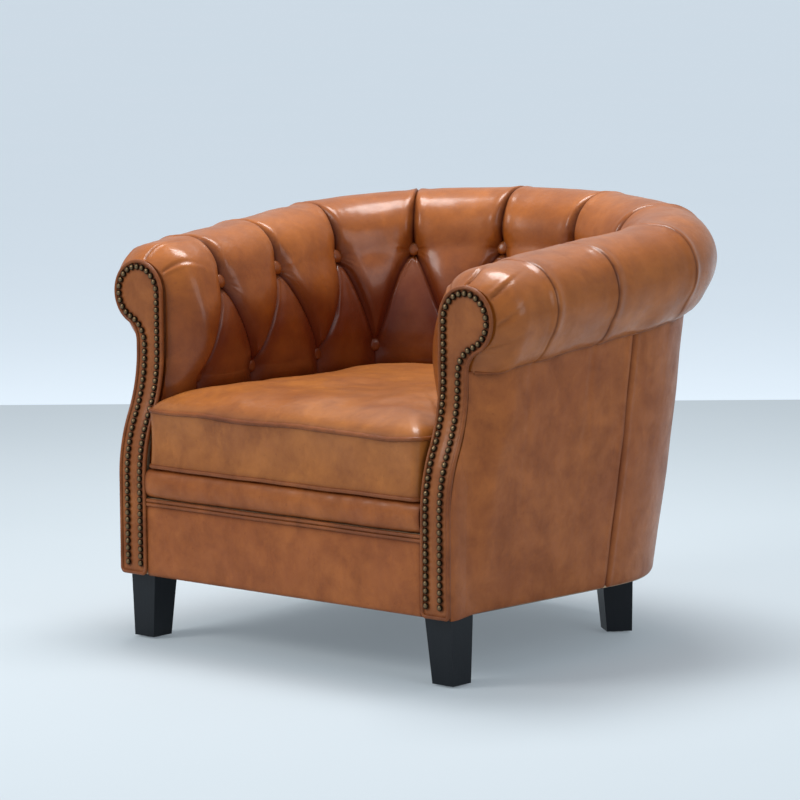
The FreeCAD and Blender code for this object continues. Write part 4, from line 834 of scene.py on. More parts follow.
def tube(path, radius, lift, around=12, closed=True):
    """Round cord along a path in millimetres: rings square to it, started from the lift."""
    path = np.asarray(path, float)
    if closed:
        ahead = np.roll(path, -1, 0) - np.roll(path, 1, 0)
    else:
        ahead = np.gradient(path, axis=0)
    ahead /= np.linalg.norm(ahead, axis=1, keepdims=True)
    side = np.cross(ahead, lift)
    side /= np.linalg.norm(side, axis=1, keepdims=True)
    rise = np.cross(side, ahead)
    turn = np.linspace(0.0, 2.0 * math.pi, around + 1)[None, :, None]
    radius = np.broadcast_to(radius, len(path))[:, None, None]
    rings = path[:, None] + radius * (np.cos(turn) * side[:, None] + np.sin(turn) * rise[:, None])
    rings[:, -1] = rings[:, 0]
    if closed:
        return placed(np.concatenate([rings, rings[:1]]))
    ends = [np.broadcast_to(path[i], rings[:1].shape) for i in (0, -1)]
    return placed(np.concatenate([ends[0], rings, ends[1]]))


run = np.linspace(-ROLL.length_at(56.0), ROLL.length_at(56.0), 420)
x, y, ox, oy = ROLL.at(run)
out = np.interp(run, seam_length, seam_out) + 0.4
hem_path = np.stack([x + ox * out, y + oy * out,
                     roll_z(y) + np.interp(run, seam_length, seam_up) + 0.6], -1)
hem_radius = 2.3 + 0.25 * np.sin(run / 7.0) * np.sin(run / 23.0)
hem = closed_skin("roll_hem", [tube(hem_path, hem_radius, UP, 10, False)])
hand_over(hem, piping_leather, "chair", "cover_leather")


# Arm facings
# A scroll-shaped panel over each arm front: thin ply, a little wadding and hide, closing off
# the arm. A welt runs round its edge and a loop of dome nails holds it.

HEAD_RADIUS, NECK_RADIUS, FOOT_RADIUS = 52.5, 34.0, 8.0
WELT_RADIUS = 3.2


def scroll_path(inset, foot_radius, neck_radius=None, outer_inset=None, step=1.0):
    """Outline of a scroll panel, inset from the facing's edge, from its inner foot over the head.

    Straight up the inner edge, round the head's circle to the neck, round the neck's fillet and
    down the outer edge, then round both corners of the foot.
    """
    outer_x = FACING_OUTER_X - (inset if outer_inset is None else outer_inset)
    neck_radius = NECK_RADIUS + inset if neck_radius is None else neck_radius
    inner_x, head = FACING_INNER_X + inset, HEAD_RADIUS - inset
    neck_x = outer_x + neck_radius
    neck_z = HEAD_Z - math.sqrt((head + neck_radius) ** 2 - (neck_x - HEAD_X) ** 2)
    neck_turn = math.atan2(neck_z - HEAD_Z, neck_x - HEAD_X)
    low, bottom = UNDERSIDE + inset + foot_radius, UNDERSIDE + inset

    def arc(cx, cz, radius, first, last):
        count = max(int(abs(last - first) * radius / step), 3)
        turn = np.linspace(first, last, count)
        return np.stack([cx + radius * np.cos(turn), cz + radius * np.sin(turn)], -1)

    def line(x0, z0, x1, z1):
        count = max(int(math.hypot(x1 - x0, z1 - z0) / step), 2)
        return np.stack([np.linspace(x0, x1, count), np.linspace(z0, z1, count)], -1)

    start = math.acos(max(-1.0, (inner_x - HEAD_X) / head))
    upper = [line(inner_x, low, inner_x, HEAD_Z), arc(HEAD_X, HEAD_Z, head, start, neck_turn),
             arc(neck_x, neck_z, neck_radius, math.pi + neck_turn, math.pi)[1:],
             line(outer_x, neck_z, outer_x, low)]
    lower = [arc(outer_x - foot_radius, low, foot_radius, 0.0, -math.pi / 2),
             line(outer_x - foot_radius, bottom, inner_x + foot_radius, bottom),
             arc(inner_x + foot_radius, low, foot_radius, -math.pi / 2, -math.pi)]
    return np.concatenate(upper), np.concatenate(lower)


def along(path, pitch):
    """Points at an even pitch along a path, by its length."""
    run = np.append(0.0, np.cumsum(np.linalg.norm(np.diff(path, axis=0), axis=1)))
    count = max(int(round(run[-1] / pitch)), 1)
    spots = np.linspace(0.0, run[-1], count + 1)
    return np.stack([np.interp(spots, run, path[:, i]) for i in range(path.shape[1])], -1)


NAIL_SEAT = 0.2
NAIL_INSET, NAIL_STEM_INSET, NAIL_NECK, NAIL_PITCH = 11.3, 18.5, 46.0, 11.3
nail_path = scroll_path(NAIL_INSET, 8.0, NAIL_NECK, NAIL_STEM_INSET)[0]
nail_path = nail_path[nail_path[:, 1] >= UNDERSIDE + NAIL_INSET - 1.0]
nail_spots = along(np.stack([nail_path[:, 0], sweep_y(nail_path[:, 1]), nail_path[:, 1]], -1),
                   NAIL_PITCH)
nail_face = np.stack([nail_spots[:, 0], nail_spots[:, 2]], -1)

face_z = np.unique(np.concatenate([np.linspace(105.0, 113.0, 7), np.linspace(113.0, 486.0, 150),
                                   np.linspace(486.0, 512.0, 36), np.linspace(512.0, 590.0, 44),
                                   590.0 + 10.5 * np.sin(np.linspace(0.0, math.pi / 2, 12))]))
EDGE = 4.6


def facing_sides(z, inset):
    """Inner and outer x of the panel at a height, inset from its edge."""
    upper, lower = scroll_path(inset, FOOT_RADIUS - inset / 2, step=0.25)
    path = np.concatenate([upper, lower])
    head = HEAD_RADIUS - inset
    level = np.clip(np.abs(z - HEAD_Z), 0.0, head)
    round_x = np.sqrt(head ** 2 - level ** 2)
    inner = np.where(z > HEAD_Z, HEAD_X - round_x, FACING_INNER_X + inset)
    neck = path[(path[:, 0] > HEAD_X) & (path[:, 1] < HEAD_Z - head * 0.93)]
    order = np.argsort(neck[:, 1], kind="stable")
    outer = np.where(z < HEAD_Z - head * 0.94, np.interp(z, neck[order, 1], neck[order, 0]),
                     HEAD_X + round_x)
    foot = np.clip((UNDERSIDE + inset + FOOT_RADIUS - z) / FOOT_RADIUS, 0.0, 1.0)
    rounding = FOOT_RADIUS * (1.0 - np.sqrt(1.0 - foot ** 2))
    return inner + rounding, outer - rounding


low_z, high_z = UNDERSIDE + EDGE, HEAD_Z + HEAD_RADIUS - EDGE
z_rows = mix(low_z, high_z, (face_z - face_z[0]) / (face_z[-1] - face_z[0]))[:, None]
inner_x, outer_x = facing_sides(z_rows, EDGE)
outer_x[-1] = inner_x[-1]
cross = (0.5 - 0.5 * np.cos(np.linspace(0.0, math.pi, 35)))[None, :]
x = mix(inner_x, outer_x, cross)
z = np.broadcast_to(z_rows, x.shape)
outline = np.concatenate(scroll_path(EDGE, FOOT_RADIUS - EDGE / 2, step=1.5))
edge_gap = np.min(np.hypot(x[..., None] - outline[:, 0], z[..., None] - outline[:, 1]), -1)
nail_gap = np.min(np.hypot(x[..., None] - nail_face[:, 0], z[..., None] - nail_face[:, 1]), -1)
dome = 1.9 * (1.0 - np.exp(-edge_gap / 4.0)) * (1.0 - 0.75 * np.exp(-(nail_gap / 8.0) ** 2))
dome = dome + 0.8 * smooth((nail_gap - 7.0) / 16.0)
dome = dome + 0.35 * undulation(place(x, 0.0 * x, z), 60.0, 21) * smooth(edge_gap / 8.0)
face_y = sweep_y(z) + 2.6 - dome
# Painted shade in the fold mark: darker along the welted edge and in a band round each nail.
facing_edge_nail_shade = 0.75 * np.exp(-edge_gap / 2.6) + 0.78 * np.exp(-(nail_gap / 7.0) ** 4)
facing_leather = hide("facing_leather", (0.36, 0.115, 0.027, 1.0), (0.255, 0.075, 0.019, 1.0),
                      (0.175, 0.048, 0.014, 1.0), gloss=0.42, coat=0.20)

# Dome nails: antique brass, brown in the hollows and rubbed bright on top
tarnish = Finish("antique_brass", Metallic=1.0, Specular_IOR_Level=0.5)
spot = tarnish.place()
rim = tarnish.mark("rim")
mottle = tarnish.between(tarnish.cloud(spot, 260.0, 4.0, 0.7), 0.35, 0.7)
dark_share = (rim ** 1.3 * 1.2 + mottle * 0.35).limited()
brass = tarnish.blend(dark_share, (0.27, 0.18, 0.095, 1.0), (0.016, 0.010, 0.006, 1.0))
nail_brass = tarnish.feed(Base_Color=brass, Roughness=0.30 + dark_share * 0.28,
                          Normal=tarnish.bump(mottle, 0.0003, 0.4))


def nail_skin(spot):
    """A low dome of five rings: radius R sin(t), rise H cos(t), turned to the facing's lean."""
    slope = float(sweep_y(spot[2] + 1.0) - sweep_y(spot[2] - 1.0)) / 2.0
    outward = np.array((0.0, -1.0, slope)) / math.hypot(1.0, slope)
    rise = np.cross((1.0, 0.0, 0.0), outward)
    radius = np.array((0.0, 2.1, 3.9, 5.0, 5.2, 4.6, 0.0))[:, None, None]
    height = np.array((3.4, 2.95, 1.9, 0.7, -0.1, -0.9, -0.9))[:, None, None]
    turn = np.linspace(0.0, 2.0 * math.pi, 11)[None, :, None]
    ring = np.cos(turn) * np.array((1.0, 0.0, 0.0)) - np.sin(turn) * rise
    ring[:, -1] = ring[:, 0]
    return placed(spot + radius * ring + (height + NAIL_SEAT) * outward)


rim_rows = np.repeat(np.array((0.0, 0.25, 0.6, 0.95, 1.0, 1.0, 1.0))[:, None], 11, 1)
for side, name in ((1.0, "left"), (-1.0, "right")):
    face = place(x, face_y, z)
    rear = place(x, sweep_y(z) + FACING_BACK - 0.5, z)
    upper, lower = scroll_path(WELT_RADIUS - 0.2, FOOT_RADIUS - 1.6)
    loop = np.concatenate([upper, lower])
    loop = along(np.stack([loop[:, 0], sweep_y(loop[:, 1]) + 2.4, loop[:, 1]], -1), 2.4)[:-1]
    grids = {"facing": slab(face, rear), "welt": [tube(loop, WELT_RADIUS, (0.0, 1.0, 0.0))],
             "nails": [nail_skin(spot) for spot in nail_spots]}
    if side < 0:
        flipped = np.array((-1.0, 1.0, 1.0))
        grids = {key: [(grid * flipped)[:, ::-1] for grid in value]
                 for key, value in grids.items()}
    fold = facing_edge_nail_shade if side > 0 else facing_edge_nail_shade[:, ::-1]
    facing = closed_skin("arm_facing_" + name, [g[::-1] for g in grids["facing"]],
                         {"fold": fold[::-1]})
    hand_over(facing, facing_leather, "chair", "cover_leather", "facing_" + name)
    welt = closed_skin("arm_welt_" + name, grids["welt"])
    hand_over(welt, piping_leather, "chair", "cover_leather", "facing_welt_" + name)
    nails = closed_skin("dome_nails_" + name, grids["nails"],
                        {"rim": np.stack([rim_rows] * len(nail_spots))})
    hand_over(nails, nail_brass, "chair", "nail_brass", "nails_" + name)


# Seat front
# A leather border over the front rail, a double welt along its top, and a padded lip above it
# that the cushion lies against.

FRONT_HALF = 285.0
BORDER_TOP, BORDER_FRONT, BORDER_BACK = 216.5, 3.5, 9.0
u = np.linspace(-1.0, 1.0, 121)[None, :]
v = np.linspace(0.0, 1.0, 41)[:, None]
x, z = u * FRONT_HALF, mix(UNDERSIDE, BORDER_TOP, v)
puff = 2.0 * np.sin(math.pi * v) ** 0.7 * (1.0 - np.abs(u) ** 12)
under = np.clip(1.0 - (z - UNDERSIDE) / 6.0, 0.0, 1.0)
y = BORDER_FRONT - puff + 3.0 * (1.0 - np.sqrt(1.0 - under ** 2)) + 0.0 * x
y = y - 0.5 * undulation(place(x, 0.0 * x, z + 0.0 * x), 120.0, 31) * np.sin(math.pi * v)
# Painted shade in the fold mark: darker along the top under the welt, at both ends and along the
# bottom.
fold = (0.75 * np.exp(-(1.0 - v) * 34.0) + 0.7 * np.exp(-(1.0 - np.abs(u)) * 90.0)
        + 0.25 * np.exp(-v * 16.0))
border = closed_skin("front_border_panel",
                     slab(place(x, y, z), place(x, np.full_like(y, BORDER_BACK), z + 0.0 * x)),
                     {"fold": np.clip(fold, 0.0, 1.0)})
hand_over(border, outside_leather, "chair", "cover_leather", "front_border")

cords = []
CORD_HEIGHTS, CORD_FRONT, CORD_RADIUS = (219.5, 225.9), 4.6, 3.15
x = np.linspace(-FRONT_HALF, FRONT_HALF, 160)
for z_cord in CORD_HEIGHTS:
    path = np.stack([x, CORD_FRONT + 0.25 * np.sin(x / 31.0 + z_cord),
                     z_cord + 0.25 * np.sin(x / 43.0)], -1)
    cords.append(tube(path, CORD_RADIUS, UP, closed=False))
double_welt = closed_skin("double_welt", cords)
hand_over(double_welt, piping_leather, "chair", "cover_leather", "front_double_welt")

# Lip: one closed section of a superellipse front and a flat back, carried across the seat
LIP_Y, LIP_Z, LIP_HALF = 21.0, 253.0, 24.0
t = np.linspace(-math.pi / 2, math.pi / 2, 44)
round_y = LIP_Y - LIP_HALF * np.abs(np.cos(t)) ** 0.48
round_z = LIP_Z + LIP_HALF * np.sign(np.sin(t)) * np.abs(np.sin(t)) ** 0.9
section_y = np.concatenate([[58.0], round_y, [40.0, 58.0]])
section_z = np.concatenate([[229.2], round_z, [276.6, 274.0]])
section_y = np.append(section_y, section_y[0])[:, None]
section_z = np.append(section_z, section_z[0])[:, None]
u = np.linspace(-1.0, 1.0, 181)[None, :]
ends = 1.0 - 0.10 * np.abs(u) ** 14
y = LIP_Y + (section_y - LIP_Y) * np.where(section_y < LIP_Y, ends, 1.0)
z = LIP_Z + (section_z - LIP_Z) * mix(1.0, ends, 0.6)
x = u * (FRONT_HALF - 0.3) + 0.0 * y
points = place(x, y, z)
wave = undulation(points, 75.0, 33) * 0.9 + undulation(points, 26.0, 34) * 0.25
y = y - wave * smooth((34.0 - y) / 20.0)
# Painted shade in the fold mark: darker along the bottom by the welt, at both ends and along the
# top under the cushion.
lip_edge_shade = (0.8 * np.exp(-np.maximum(z - 229.5, 0.0) / 4.0)
            + 0.7 * np.exp(-(1.0 - np.abs(u)) * 70.0)
            + 0.6 * np.exp(-np.maximum(276.0 - z, 0.0) / 3.0)) * np.ones_like(y)
skin = place(x, y, z)[::-1]
lip = closed_skin("seat_lip_roll", [skin], {"fold": np.clip(lip_edge_shade, 0.0, 1.0)[::-1]},
                  end_caps(skin))
hand_over(lip, outside_leather, "chair", "cover_leather", "seat_lip")


# Seat cushion
# A loose cushion of foam and feather in a boxed leather cover: crowned top, boxing drawn in
# between two lines of piping, and a bottom that lies on the lip and the platform.

cushion_leather = hide("cushion_leather", (0.44, 0.150, 0.030, 1.0), (0.315, 0.096, 0.020, 1.0),
                       (0.185, 0.052, 0.013, 1.0), gloss=0.38, coat=0.36)
WELL = TubLine((137.0, 430.0), 128.0, 605.0, 0.0)
SEAT, PIPING, BOXING, CROWN = 277.0, 3.8, 89.0, 45.0
CUSHION_HALF, CUSHION_NARROW, CUSHION_FRONT, CUSHION_CORNER = 283.5, 262.0, -2.0, 18.0
EAR, EAR_END = 48.0, 100.0


def cushion_ring(inset, count=520):
    """Evenly spaced outline at an inset: round corners, ears before the facings, round back."""
    wide, narrow = CUSHION_HALF - inset, CUSHION_NARROW - inset
    corner, front = CUSHION_CORNER - inset, CUSHION_FRONT + inset
    turn = np.linspace(-math.pi / 2, 0.0, 14)
    right = np.stack([wide - corner + corner * np.cos(turn),
                      front + corner + corner * np.sin(turn)], -1)
    ear = np.linspace(0.0, 1.0, 12)
    neck = np.stack([mix(wide, narrow, smooth(ear)), mix(EAR, EAR_END, ear)], -1)
    bend = np.stack(WELL.bend(np.linspace(0.0, 1.0, 240), -3.0 - inset), -1)
    half = np.concatenate([right, neck])
    ring = np.concatenate([[(0.0, front)], half, bend, half[::-1] * (-1.0, 1.0), [(0.0, front)]])
    return along(ring, np.linalg.norm(np.diff(ring, axis=0), axis=1).sum() / count)


COVER_INSET = 2.4
ring = cushion_ring(COVER_INSET)
centre = np.array((0.0, 300.0))
inward = 1.0 - np.concatenate([[0.0, 0.003, 0.007, 0.012, 0.018, 0.026, 0.036, 0.05, 0.07, 0.095],
                               np.linspace(0.125, 1.0, 44)])
rho = 1.0 - inward
plan = centre + inward[:, None, None] * (ring - centre)[None]
top_low = SEAT + PIPING + BOXING
crown_rise = CROWN * (1.0 - 0.24 * np.exp(-rho / 0.022) - 0.76 * np.exp(-rho / 0.19))
crown_rise = crown_rise - crown_rise[0]
crown_rise *= CROWN / crown_rise.max()
x, y = plan[..., 0], plan[..., 1]
z = top_low + crown_rise[:, None] + 0.0 * x
soft = smooth(rho / 0.12)[:, None]
points = place(x, y, 0.0 * x)
z = z + soft * (1.7 * undulation(points, 170.0, 41) + 0.55 * undulation(points, 60.0, 42))
z = z - 3.5 * soft * np.exp(-((x / 150.0) ** 2 + ((y - 270.0) / 140.0) ** 2))
ring_run = np.append(0.0, np.cumsum(np.linalg.norm(np.diff(ring, axis=0), axis=1)))
pucker = np.sin(ring_run / 9.3) * np.sin(ring_run / 31.0 + 1.0)
pucker = pucker + 0.6 * np.sin(ring_run / 5.1 + 2.0)
z = z + 0.7 * pucker[None, :] * (np.exp(-rho / 0.035) * smooth(rho / 0.006))[:, None]
corner_pull = np.exp(-np.hypot(np.abs(ring[:, 0]) - 268.0, ring[:, 1] - 14.0) / 60.0)
z = z - 5.0 * corner_pull[None, :] * (np.exp(-((rho - 0.09) / 0.09) ** 2))[:, None]
z = np.minimum(z, top_low + CROWN + 0.5)
edge_x = ring[:, 0]
slack = (-3.6 * np.exp(-((edge_x - 222.0) / 34.0) ** 2)
         + 2.2 * np.exp(-((edge_x - 281.0) / 16.0) ** 2)
         - 2.0 * np.exp(-((edge_x + 90.0) / 60.0) ** 2) + 1.2 * np.sin(edge_x / 31.0))
slack = slack * np.exp(-np.maximum(ring[:, 1], 0.0) / 45.0)
z = z + slack[None, :] * np.exp(-rho / 0.10)[:, None]
top = place(x, y, z)

down = np.linspace(0.0, 1.0, 25)
waist = 2.6 * (1.0 - (2.0 * down - 1.0) ** 2)
normals = np.gradient(ring, axis=0)
normals[0] = normals[-1] = (1.0, 0.0)
normals /= np.linalg.norm(normals, axis=1, keepdims=True)
outward = np.stack([normals[:, 1], -normals[:, 0]], -1)
boxing_wave = undulation(place(ring[:, 0], ring[:, 1], 0.0 * ring_run), 95.0, 43)
pull_in = waist[:, None] - 1.3 * boxing_wave[None, :] * np.sin(math.pi * down)[:, None]
edges = np.exp(-down / 0.10) + np.exp(-(1.0 - down) / 0.10)
pull_in = pull_in - 0.55 * pucker[None, :] * (edges * np.sin(math.pi * down) ** 0.3)[:, None]
x = ring[None, :, 0] - outward[None, :, 0] * pull_in
y = ring[None, :, 1] - outward[None, :, 1] * pull_in
boxing = place(x, y, mix(top_low + slack[None, :], SEAT + PIPING, down[:, None]))

under_share = np.array((1.0, 0.992, 0.98, 0.8, 0.6, 0.4, 0.2, 0.0))
under_z = np.array((SEAT + PIPING, SEAT + 1.2) + (SEAT + 0.3,) * 6)
plan = centre + under_share[:, None, None] * (ring - centre)[None]
bottom = place(plan[..., 0], plan[..., 1], under_z[:, None] + 0.0 * plan[..., 0])
for grid in (top, boxing, bottom):
    grid[:, -1] = grid[:, 0]
shell = np.concatenate([top[::-1], boxing[1:], bottom[1:]])[::-1]
# Painted shade in the fold mark: darker beside the piping, round the top's edge and along the
# boxing's top and bottom.
top_piping_shade = np.repeat((0.8 * np.exp(-rho / 0.006) + 0.15 * np.exp(-rho / 0.03))[:, None],
                     len(ring), 1)[::-1]
boxing_piping_shade = np.repeat((0.75 * (np.exp(-down / 0.05) + np.exp(-(1.0 - down) / 0.05)))[1:, None],
                     len(ring), 1)
cushion_piping_shade = np.concatenate([top_piping_shade, boxing_piping_shade, np.zeros((len(under_share) - 1, len(ring)))])
cushion = closed_skin("seat_cushion", [shell], {"fold": np.clip(cushion_piping_shade, 0.0, 1.0)[::-1]})
hand_over(cushion, cushion_leather, "cushion", "cushion_leather",
          "cushion_top", "cushion_boxing", "cushion_bottom", "cushion_filling")

pipe_ring = cushion_ring(PIPING - 0.6)[:-1]
pipes = []
for z_pipe, seed in ((SEAT + PIPING, 1.0), (top_low, 2.0)):
    step = np.arange(len(pipe_ring))
    lift = 0.5 * np.sin(step / 6.0 + seed) * np.sin(step / 17.0)
    hang = np.interp(step, np.linspace(0, len(step) - 1, len(slack)), slack)
    path = np.column_stack([pipe_ring, z_pipe + lift + (hang if z_pipe == top_low else 0.0)])
    pipes.append(tube(path, PIPING - 0.3, UP))
piping = closed_skin("cushion_piping_cord", pipes)
hand_over(piping, piping_leather, "cushion", "cushion_leather", "cushion_piping")


# Seat platform
# Under the loose cushion: wadding over the springs' hessian, covered in plain black cloth.

black = Finish("platform_cloth", Roughness=0.85, Sheen_Weight=0.3)
spot = black.place()
woven = black.threads(spot, 260.0, "X", 0.4).reckon("MAXIMUM", black.threads(spot, 260.0, "Y", 0.4))
dust = black.between(black.cloud(spot, 18.0, 4.0), 0.4, 0.75)
tone = black.blend(woven * 0.5, (0.010, 0.010, 0.012, 1.0), (0.028, 0.027, 0.030, 1.0))
tone = black.blend(dust * 0.25, tone, (0.06, 0.056, 0.052, 1.0))
platform_cloth = black.feed(Base_Color=tone, Normal=black.bump(woven, 0.0004, 0.5))

PAD_GAP, PAD_HALF, PAD_FRONT = 3.5, 261.5, 60.6
PAD_EDGE_Z, PAD_RISE, PAD_LIMIT_Z = 271.0, 4.8, 276.4
edge = WELL.bend(np.linspace(0.0, 1.0, 240), -PAD_GAP)
ring = np.concatenate([[(0.0, PAD_FRONT), (PAD_HALF, PAD_FRONT)], np.stack(edge, -1),
                       [(-PAD_HALF, PAD_FRONT), (0.0, PAD_FRONT)]])
ring = along(ring, 5.0)
inward = 1.0 - np.concatenate([[0.0, 0.006, 0.014, 0.03], np.linspace(0.06, 1.0, 28)])
centre = np.array((0.0, 320.0))
plan = centre + inward[:, None, None] * (ring - centre)[None]
deck = PAD_EDGE_Z + PAD_RISE * (1.0 - np.exp(-(1.0 - inward) / 0.02))[:, None] + 0.0 * plan[..., 0]
uneven = undulation(place(plan[..., 0], plan[..., 1], 0.0 * deck), 120.0, 51)
deck = deck + 0.6 * uneven * (1.0 - inward)[:, None]
deck = np.minimum(deck, PAD_LIMIT_Z)
top = place(plan[..., 0], plan[..., 1], deck)
pad_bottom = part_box("platform_pad")[0][2] * 1000.0
low = place(plan[..., 0], plan[..., 1], np.full_like(deck, pad_bottom))
for grid in (top, low):
    grid[:, -1] = grid[:, 0]
platform = closed_skin("seat_platform", [np.concatenate([top[::-1], low])[::-1]])
hand_over(platform, platform_cloth, "chair", "black_cloth", "platform_pad", "platform_cover")


# Feet
# Square tapered beech feet, sprayed satin black, with a steel glide under each.

paint = Finish("black_satin", Coat_Roughness=0.3, IOR=1.38, Specular_IOR_Level=0.32)
spot = paint.place()
grain = paint.cloud(paint.stretched(spot, (1.0, 1.0, 0.08)), 140.0, 4.0, 0.6)
rub = paint.between(paint.cloud(spot, 55.0, 5.0, 0.7), 0.62, 0.8)
tone = paint.blend(grain * 0.5, (0.004, 0.006, 0.009, 1.0), (0.008, 0.011, 0.016, 1.0))
tone = paint.blend(rub * 0.25, tone, (0.03, 0.028, 0.026, 1.0))
foot_paint = paint.feed(Base_Color=tone, Roughness=0.34 + rub * 0.2 + grain * 0.06,
                        Normal=paint.bump(grain, 0.0006, 0.35), Coat_Weight=0.10 - rub * 0.1)


def plated(name, bright, dull, patch_size, detail, span, gloss, worn):
    """Metal whose bright and dull patches follow one cloud; the dull ones are rougher."""
    made = Finish(name, Metallic=1.0)
    patch = made.between(made.cloud(made.place(), patch_size, detail), *span)
    return made.feed(Base_Color=made.blend(patch, bright, dull), Roughness=gloss + patch * worn)


def finish_node(material, *names):
    """Puts a finish on the frame's own solids."""
    for name in names:
        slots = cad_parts[name].material_slots
        for slot in slots:
            slot.material = material
        if not slots:
            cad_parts[name].data.materials.append(material)


finish_node(foot_paint, "foot_front_left", "foot_front_right", "foot_rear_left", "foot_rear_right")
zinc_plate = plated("zinc_plate", (0.55, 0.55, 0.54, 1.0), (0.36, 0.36, 0.37, 1.0), 130.0, 4.0,
                    (0.35, 0.7), 0.30, 0.2)
finish_node(zinc_plate, "foot_glides", "hanger_bolts")


# Hardwood frame
# Planed beech rails, posts and blocks, sawn joints and pale dusty wood, all behind the covers.

beech = Finish("beech", Coat_Weight=0.0)
spot = beech.stretched(beech.place(), (1.0, 1.0, 0.12))
rings = beech.cloud(spot, 60.0, 5.0, 0.6, 1.2)
ray = beech.between(beech.pores(spot, 700.0), 0.0, 0.25)
tone = beech.blend(rings, (0.56, 0.40, 0.25, 1.0), (0.40, 0.26, 0.15, 1.0))
tone = beech.blend(ray * 0.2, tone, (0.30, 0.19, 0.11, 1.0))
beech_wood = beech.feed(Base_Color=tone, Roughness=0.55 + rings * 0.15,
                        Normal=beech.bump(rings, 0.0006, 0.4))
finish_node(beech_wood, "arm_rail_left", "arm_rail_right", "back_top_rail", "back_uprights",
            "corner_blocks", "front_rail", "post_left", "post_right", "rear_rail", "side_rail_left",
            "side_rail_right", "tack_rail")


# Springs, webbing and cloths
# Sinuous springs of blued wire in clips, jute webbing and hessian, and black cloth underneath.

spring_steel = plated("spring_steel", (0.16, 0.17, 0.19, 1.0), (0.09, 0.07, 0.06, 1.0), 90.0, 5.0,
                      (0.35, 0.7), 0.35, 0.25)
finish_node(spring_steel, "seat_springs", "spring_clips")

jute = Finish("jute_weave", Roughness=0.9)
spot = jute.place()
thread = jute.threads(spot, 70.0, "X", 1.5) * 0.5 + jute.threads(spot, 70.0, "Z", 1.5) * 0.5
tone = jute.blend(thread, (0.22, 0.15, 0.08, 1.0), (0.42, 0.31, 0.18, 1.0))
jute_cloth = jute.feed(Base_Color=tone, Normal=jute.bump(thread, 0.0008, 0.6))
finish_node(jute_cloth, "back_webbing", "seat_hessian")
finish_node(platform_cloth, "dust_cover")


# Zip
# A coil zip on woven tape across the rear of the cushion's boxing, with its plated slider.

tape = Finish("zip_tape", Roughness=0.75)
spot = tape.place()
coil = tape.threads(spot, 200.0, "X")
tape_weave = tape.cloud(spot, 800.0, 2.0)
tone = tape.blend(coil * 0.6 + tape_weave * 0.3, (0.05, 0.026, 0.014, 1.0), (0.12, 0.07, 0.04, 1.0))
zip_tape = tape.feed(Base_Color=tone, Normal=tape.bump(coil, 0.0005, 0.6))
finish_node(zip_tape, "cushion_zip")
slider_metal = plated("slider_metal", (0.42, 0.34, 0.22, 1.0), (0.2, 0.15, 0.09, 1.0), 300.0, 4.0,
                      (0.4, 0.7), 0.28, 0.25)
finish_node(slider_metal, "zip_slider")


# Room
# A plain pale floor that glows faintly, painted light for the white room's bounce into the
# shade. Well behind the chair, square to the view, the far floor is paler and glows more,
# painted light that stands in for the far end of a white room.

# The camera's turn, tilt and lean, and where it stands
turn, tilt, lean = 0.718432574, 0.130549266, -0.00683917
eye = Vector((4.14284, -4.84185, 1.20228))
back = Vector((math.sin(turn) * math.cos(tilt), -math.cos(turn) * math.cos(tilt), math.sin(tilt)))
right = Vector((math.cos(turn), math.sin(turn), 0.0))
level_back = Vector((math.sin(turn), -math.cos(turn), 0.0))
FAR_END, ROOM_HALF, ROOM_DEPTH = 9.15, 40.0, 45.0
far_line = Vector((eye.x, eye.y, 0.0)) - level_back * FAR_END


def sheet(name, corners, tone, shade, glow):
    """A plain matt surface, faintly uneven, that glows a little: painted light in the room's pale
    tint.
    """
    mesh = bpy.data.meshes.new(name)
    mesh.from_pydata([tuple(c) for c in corners], [], [(0, 1, 2, 3)])
    made = bpy.data.objects.new(name, mesh)
    bpy.context.collection.objects.link(made)
    finish = Finish(name + "_paint", Roughness=0.75, Emission_Color=(0.78, 0.90, 1.0, 1.0),
                    Emission_Strength=glow)
    cloud = finish.cloud(finish.place(), 1.3, 3.0)
    mesh.materials.append(finish.feed(Base_Color=finish.blend(cloud, tone, shade)))


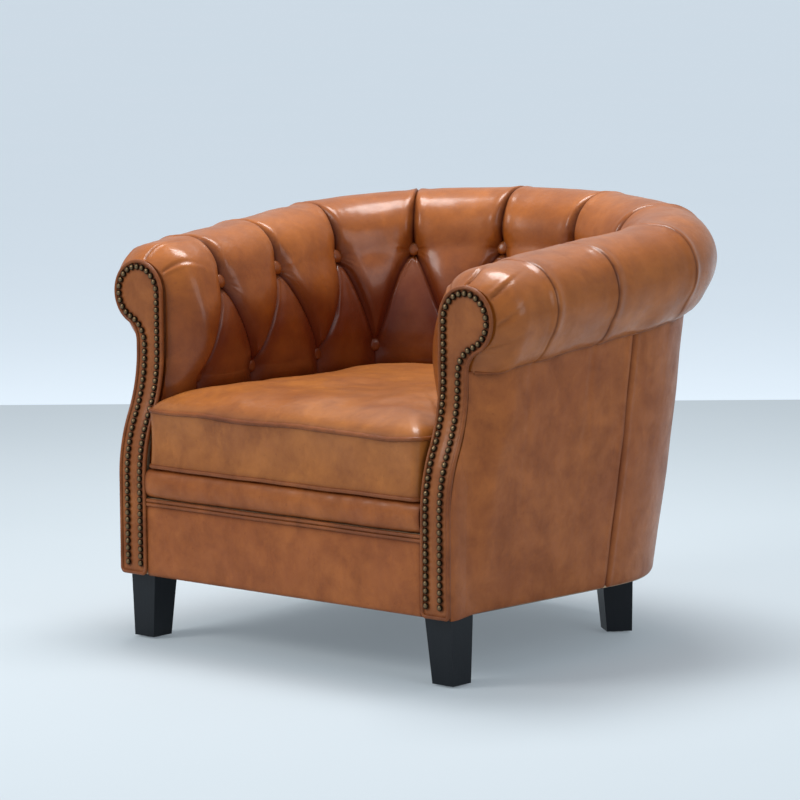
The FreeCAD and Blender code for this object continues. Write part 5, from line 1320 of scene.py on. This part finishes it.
wide, deep = right * ROOM_HALF, level_back * ROOM_DEPTH
sheet("floor", (far_line - wide, far_line - wide + deep, far_line + wide + deep, far_line + wide),
      (0.42, 0.465, 0.495, 1.0), (0.395, 0.445, 0.475, 1.0), 0.20)
sheet("far_floor", (far_line - wide - deep, far_line - wide, far_line + wide,
                    far_line + wide - deep),
      (0.52, 0.57, 0.62, 1.0), (0.49, 0.54, 0.59, 1.0), 0.45)


# Light and camera
# Big soft daylight from the front left and above, a paler room all round, and a long lens.

CHAIR_MIDDLE = Vector((0.0, 0.0, 0.4))


def soft_light(name, spot, power, width, colour=(1.0, 1.0, 1.0)):
    """A square lamp that faces the middle of the chair."""
    lamp = bpy.data.lights.new(name, "AREA")
    lamp.energy, lamp.size, lamp.color = power, width, colour
    made = bpy.data.objects.new(name, lamp)
    made.location = spot
    made.rotation_euler = (CHAIR_MIDDLE - Vector(spot)).to_track_quat("-Z", "Y").to_euler()
    bpy.context.collection.objects.link(made)


soft_light("window", (-1.6, -3.2, 2.6), 62.0, 1.4, (1.0, 0.985, 0.96))
soft_light("ceiling", (-0.4, 0.4, 3.1), 82.0, 1.3)
soft_light("right_fill", (4.2, -0.6, 2.2), 36.0, 2.2, (0.90, 0.95, 1.0))

world = bpy.data.worlds.new("room")
bpy.context.scene.world = world
world.use_nodes = True
sky = world.node_tree.nodes["Background"].inputs
sky["Color"].default_value, sky["Strength"].default_value = (0.90, 0.95, 1.0, 1.0), 0.52
bpy.context.scene.view_settings.view_transform = "Standard"

up = right.cross(-back)
across = math.cos(lean) * right + math.sin(lean) * up
upward = -math.sin(lean) * right + math.cos(lean) * up
stand = Matrix((across, upward, back)).transposed().to_4x4()
stand.translation = eye
camera_data = bpy.data.cameras.new("camera")
camera_data.sensor_width, camera_data.lens = 36.0, 181.17
camera_data.shift_x, camera_data.shift_y = -0.0005, 0.0024
camera = bpy.data.objects.new("camera", camera_data)
camera.matrix_world = stand
bpy.context.collection.objects.link(camera)
bpy.context.scene.camera = camera
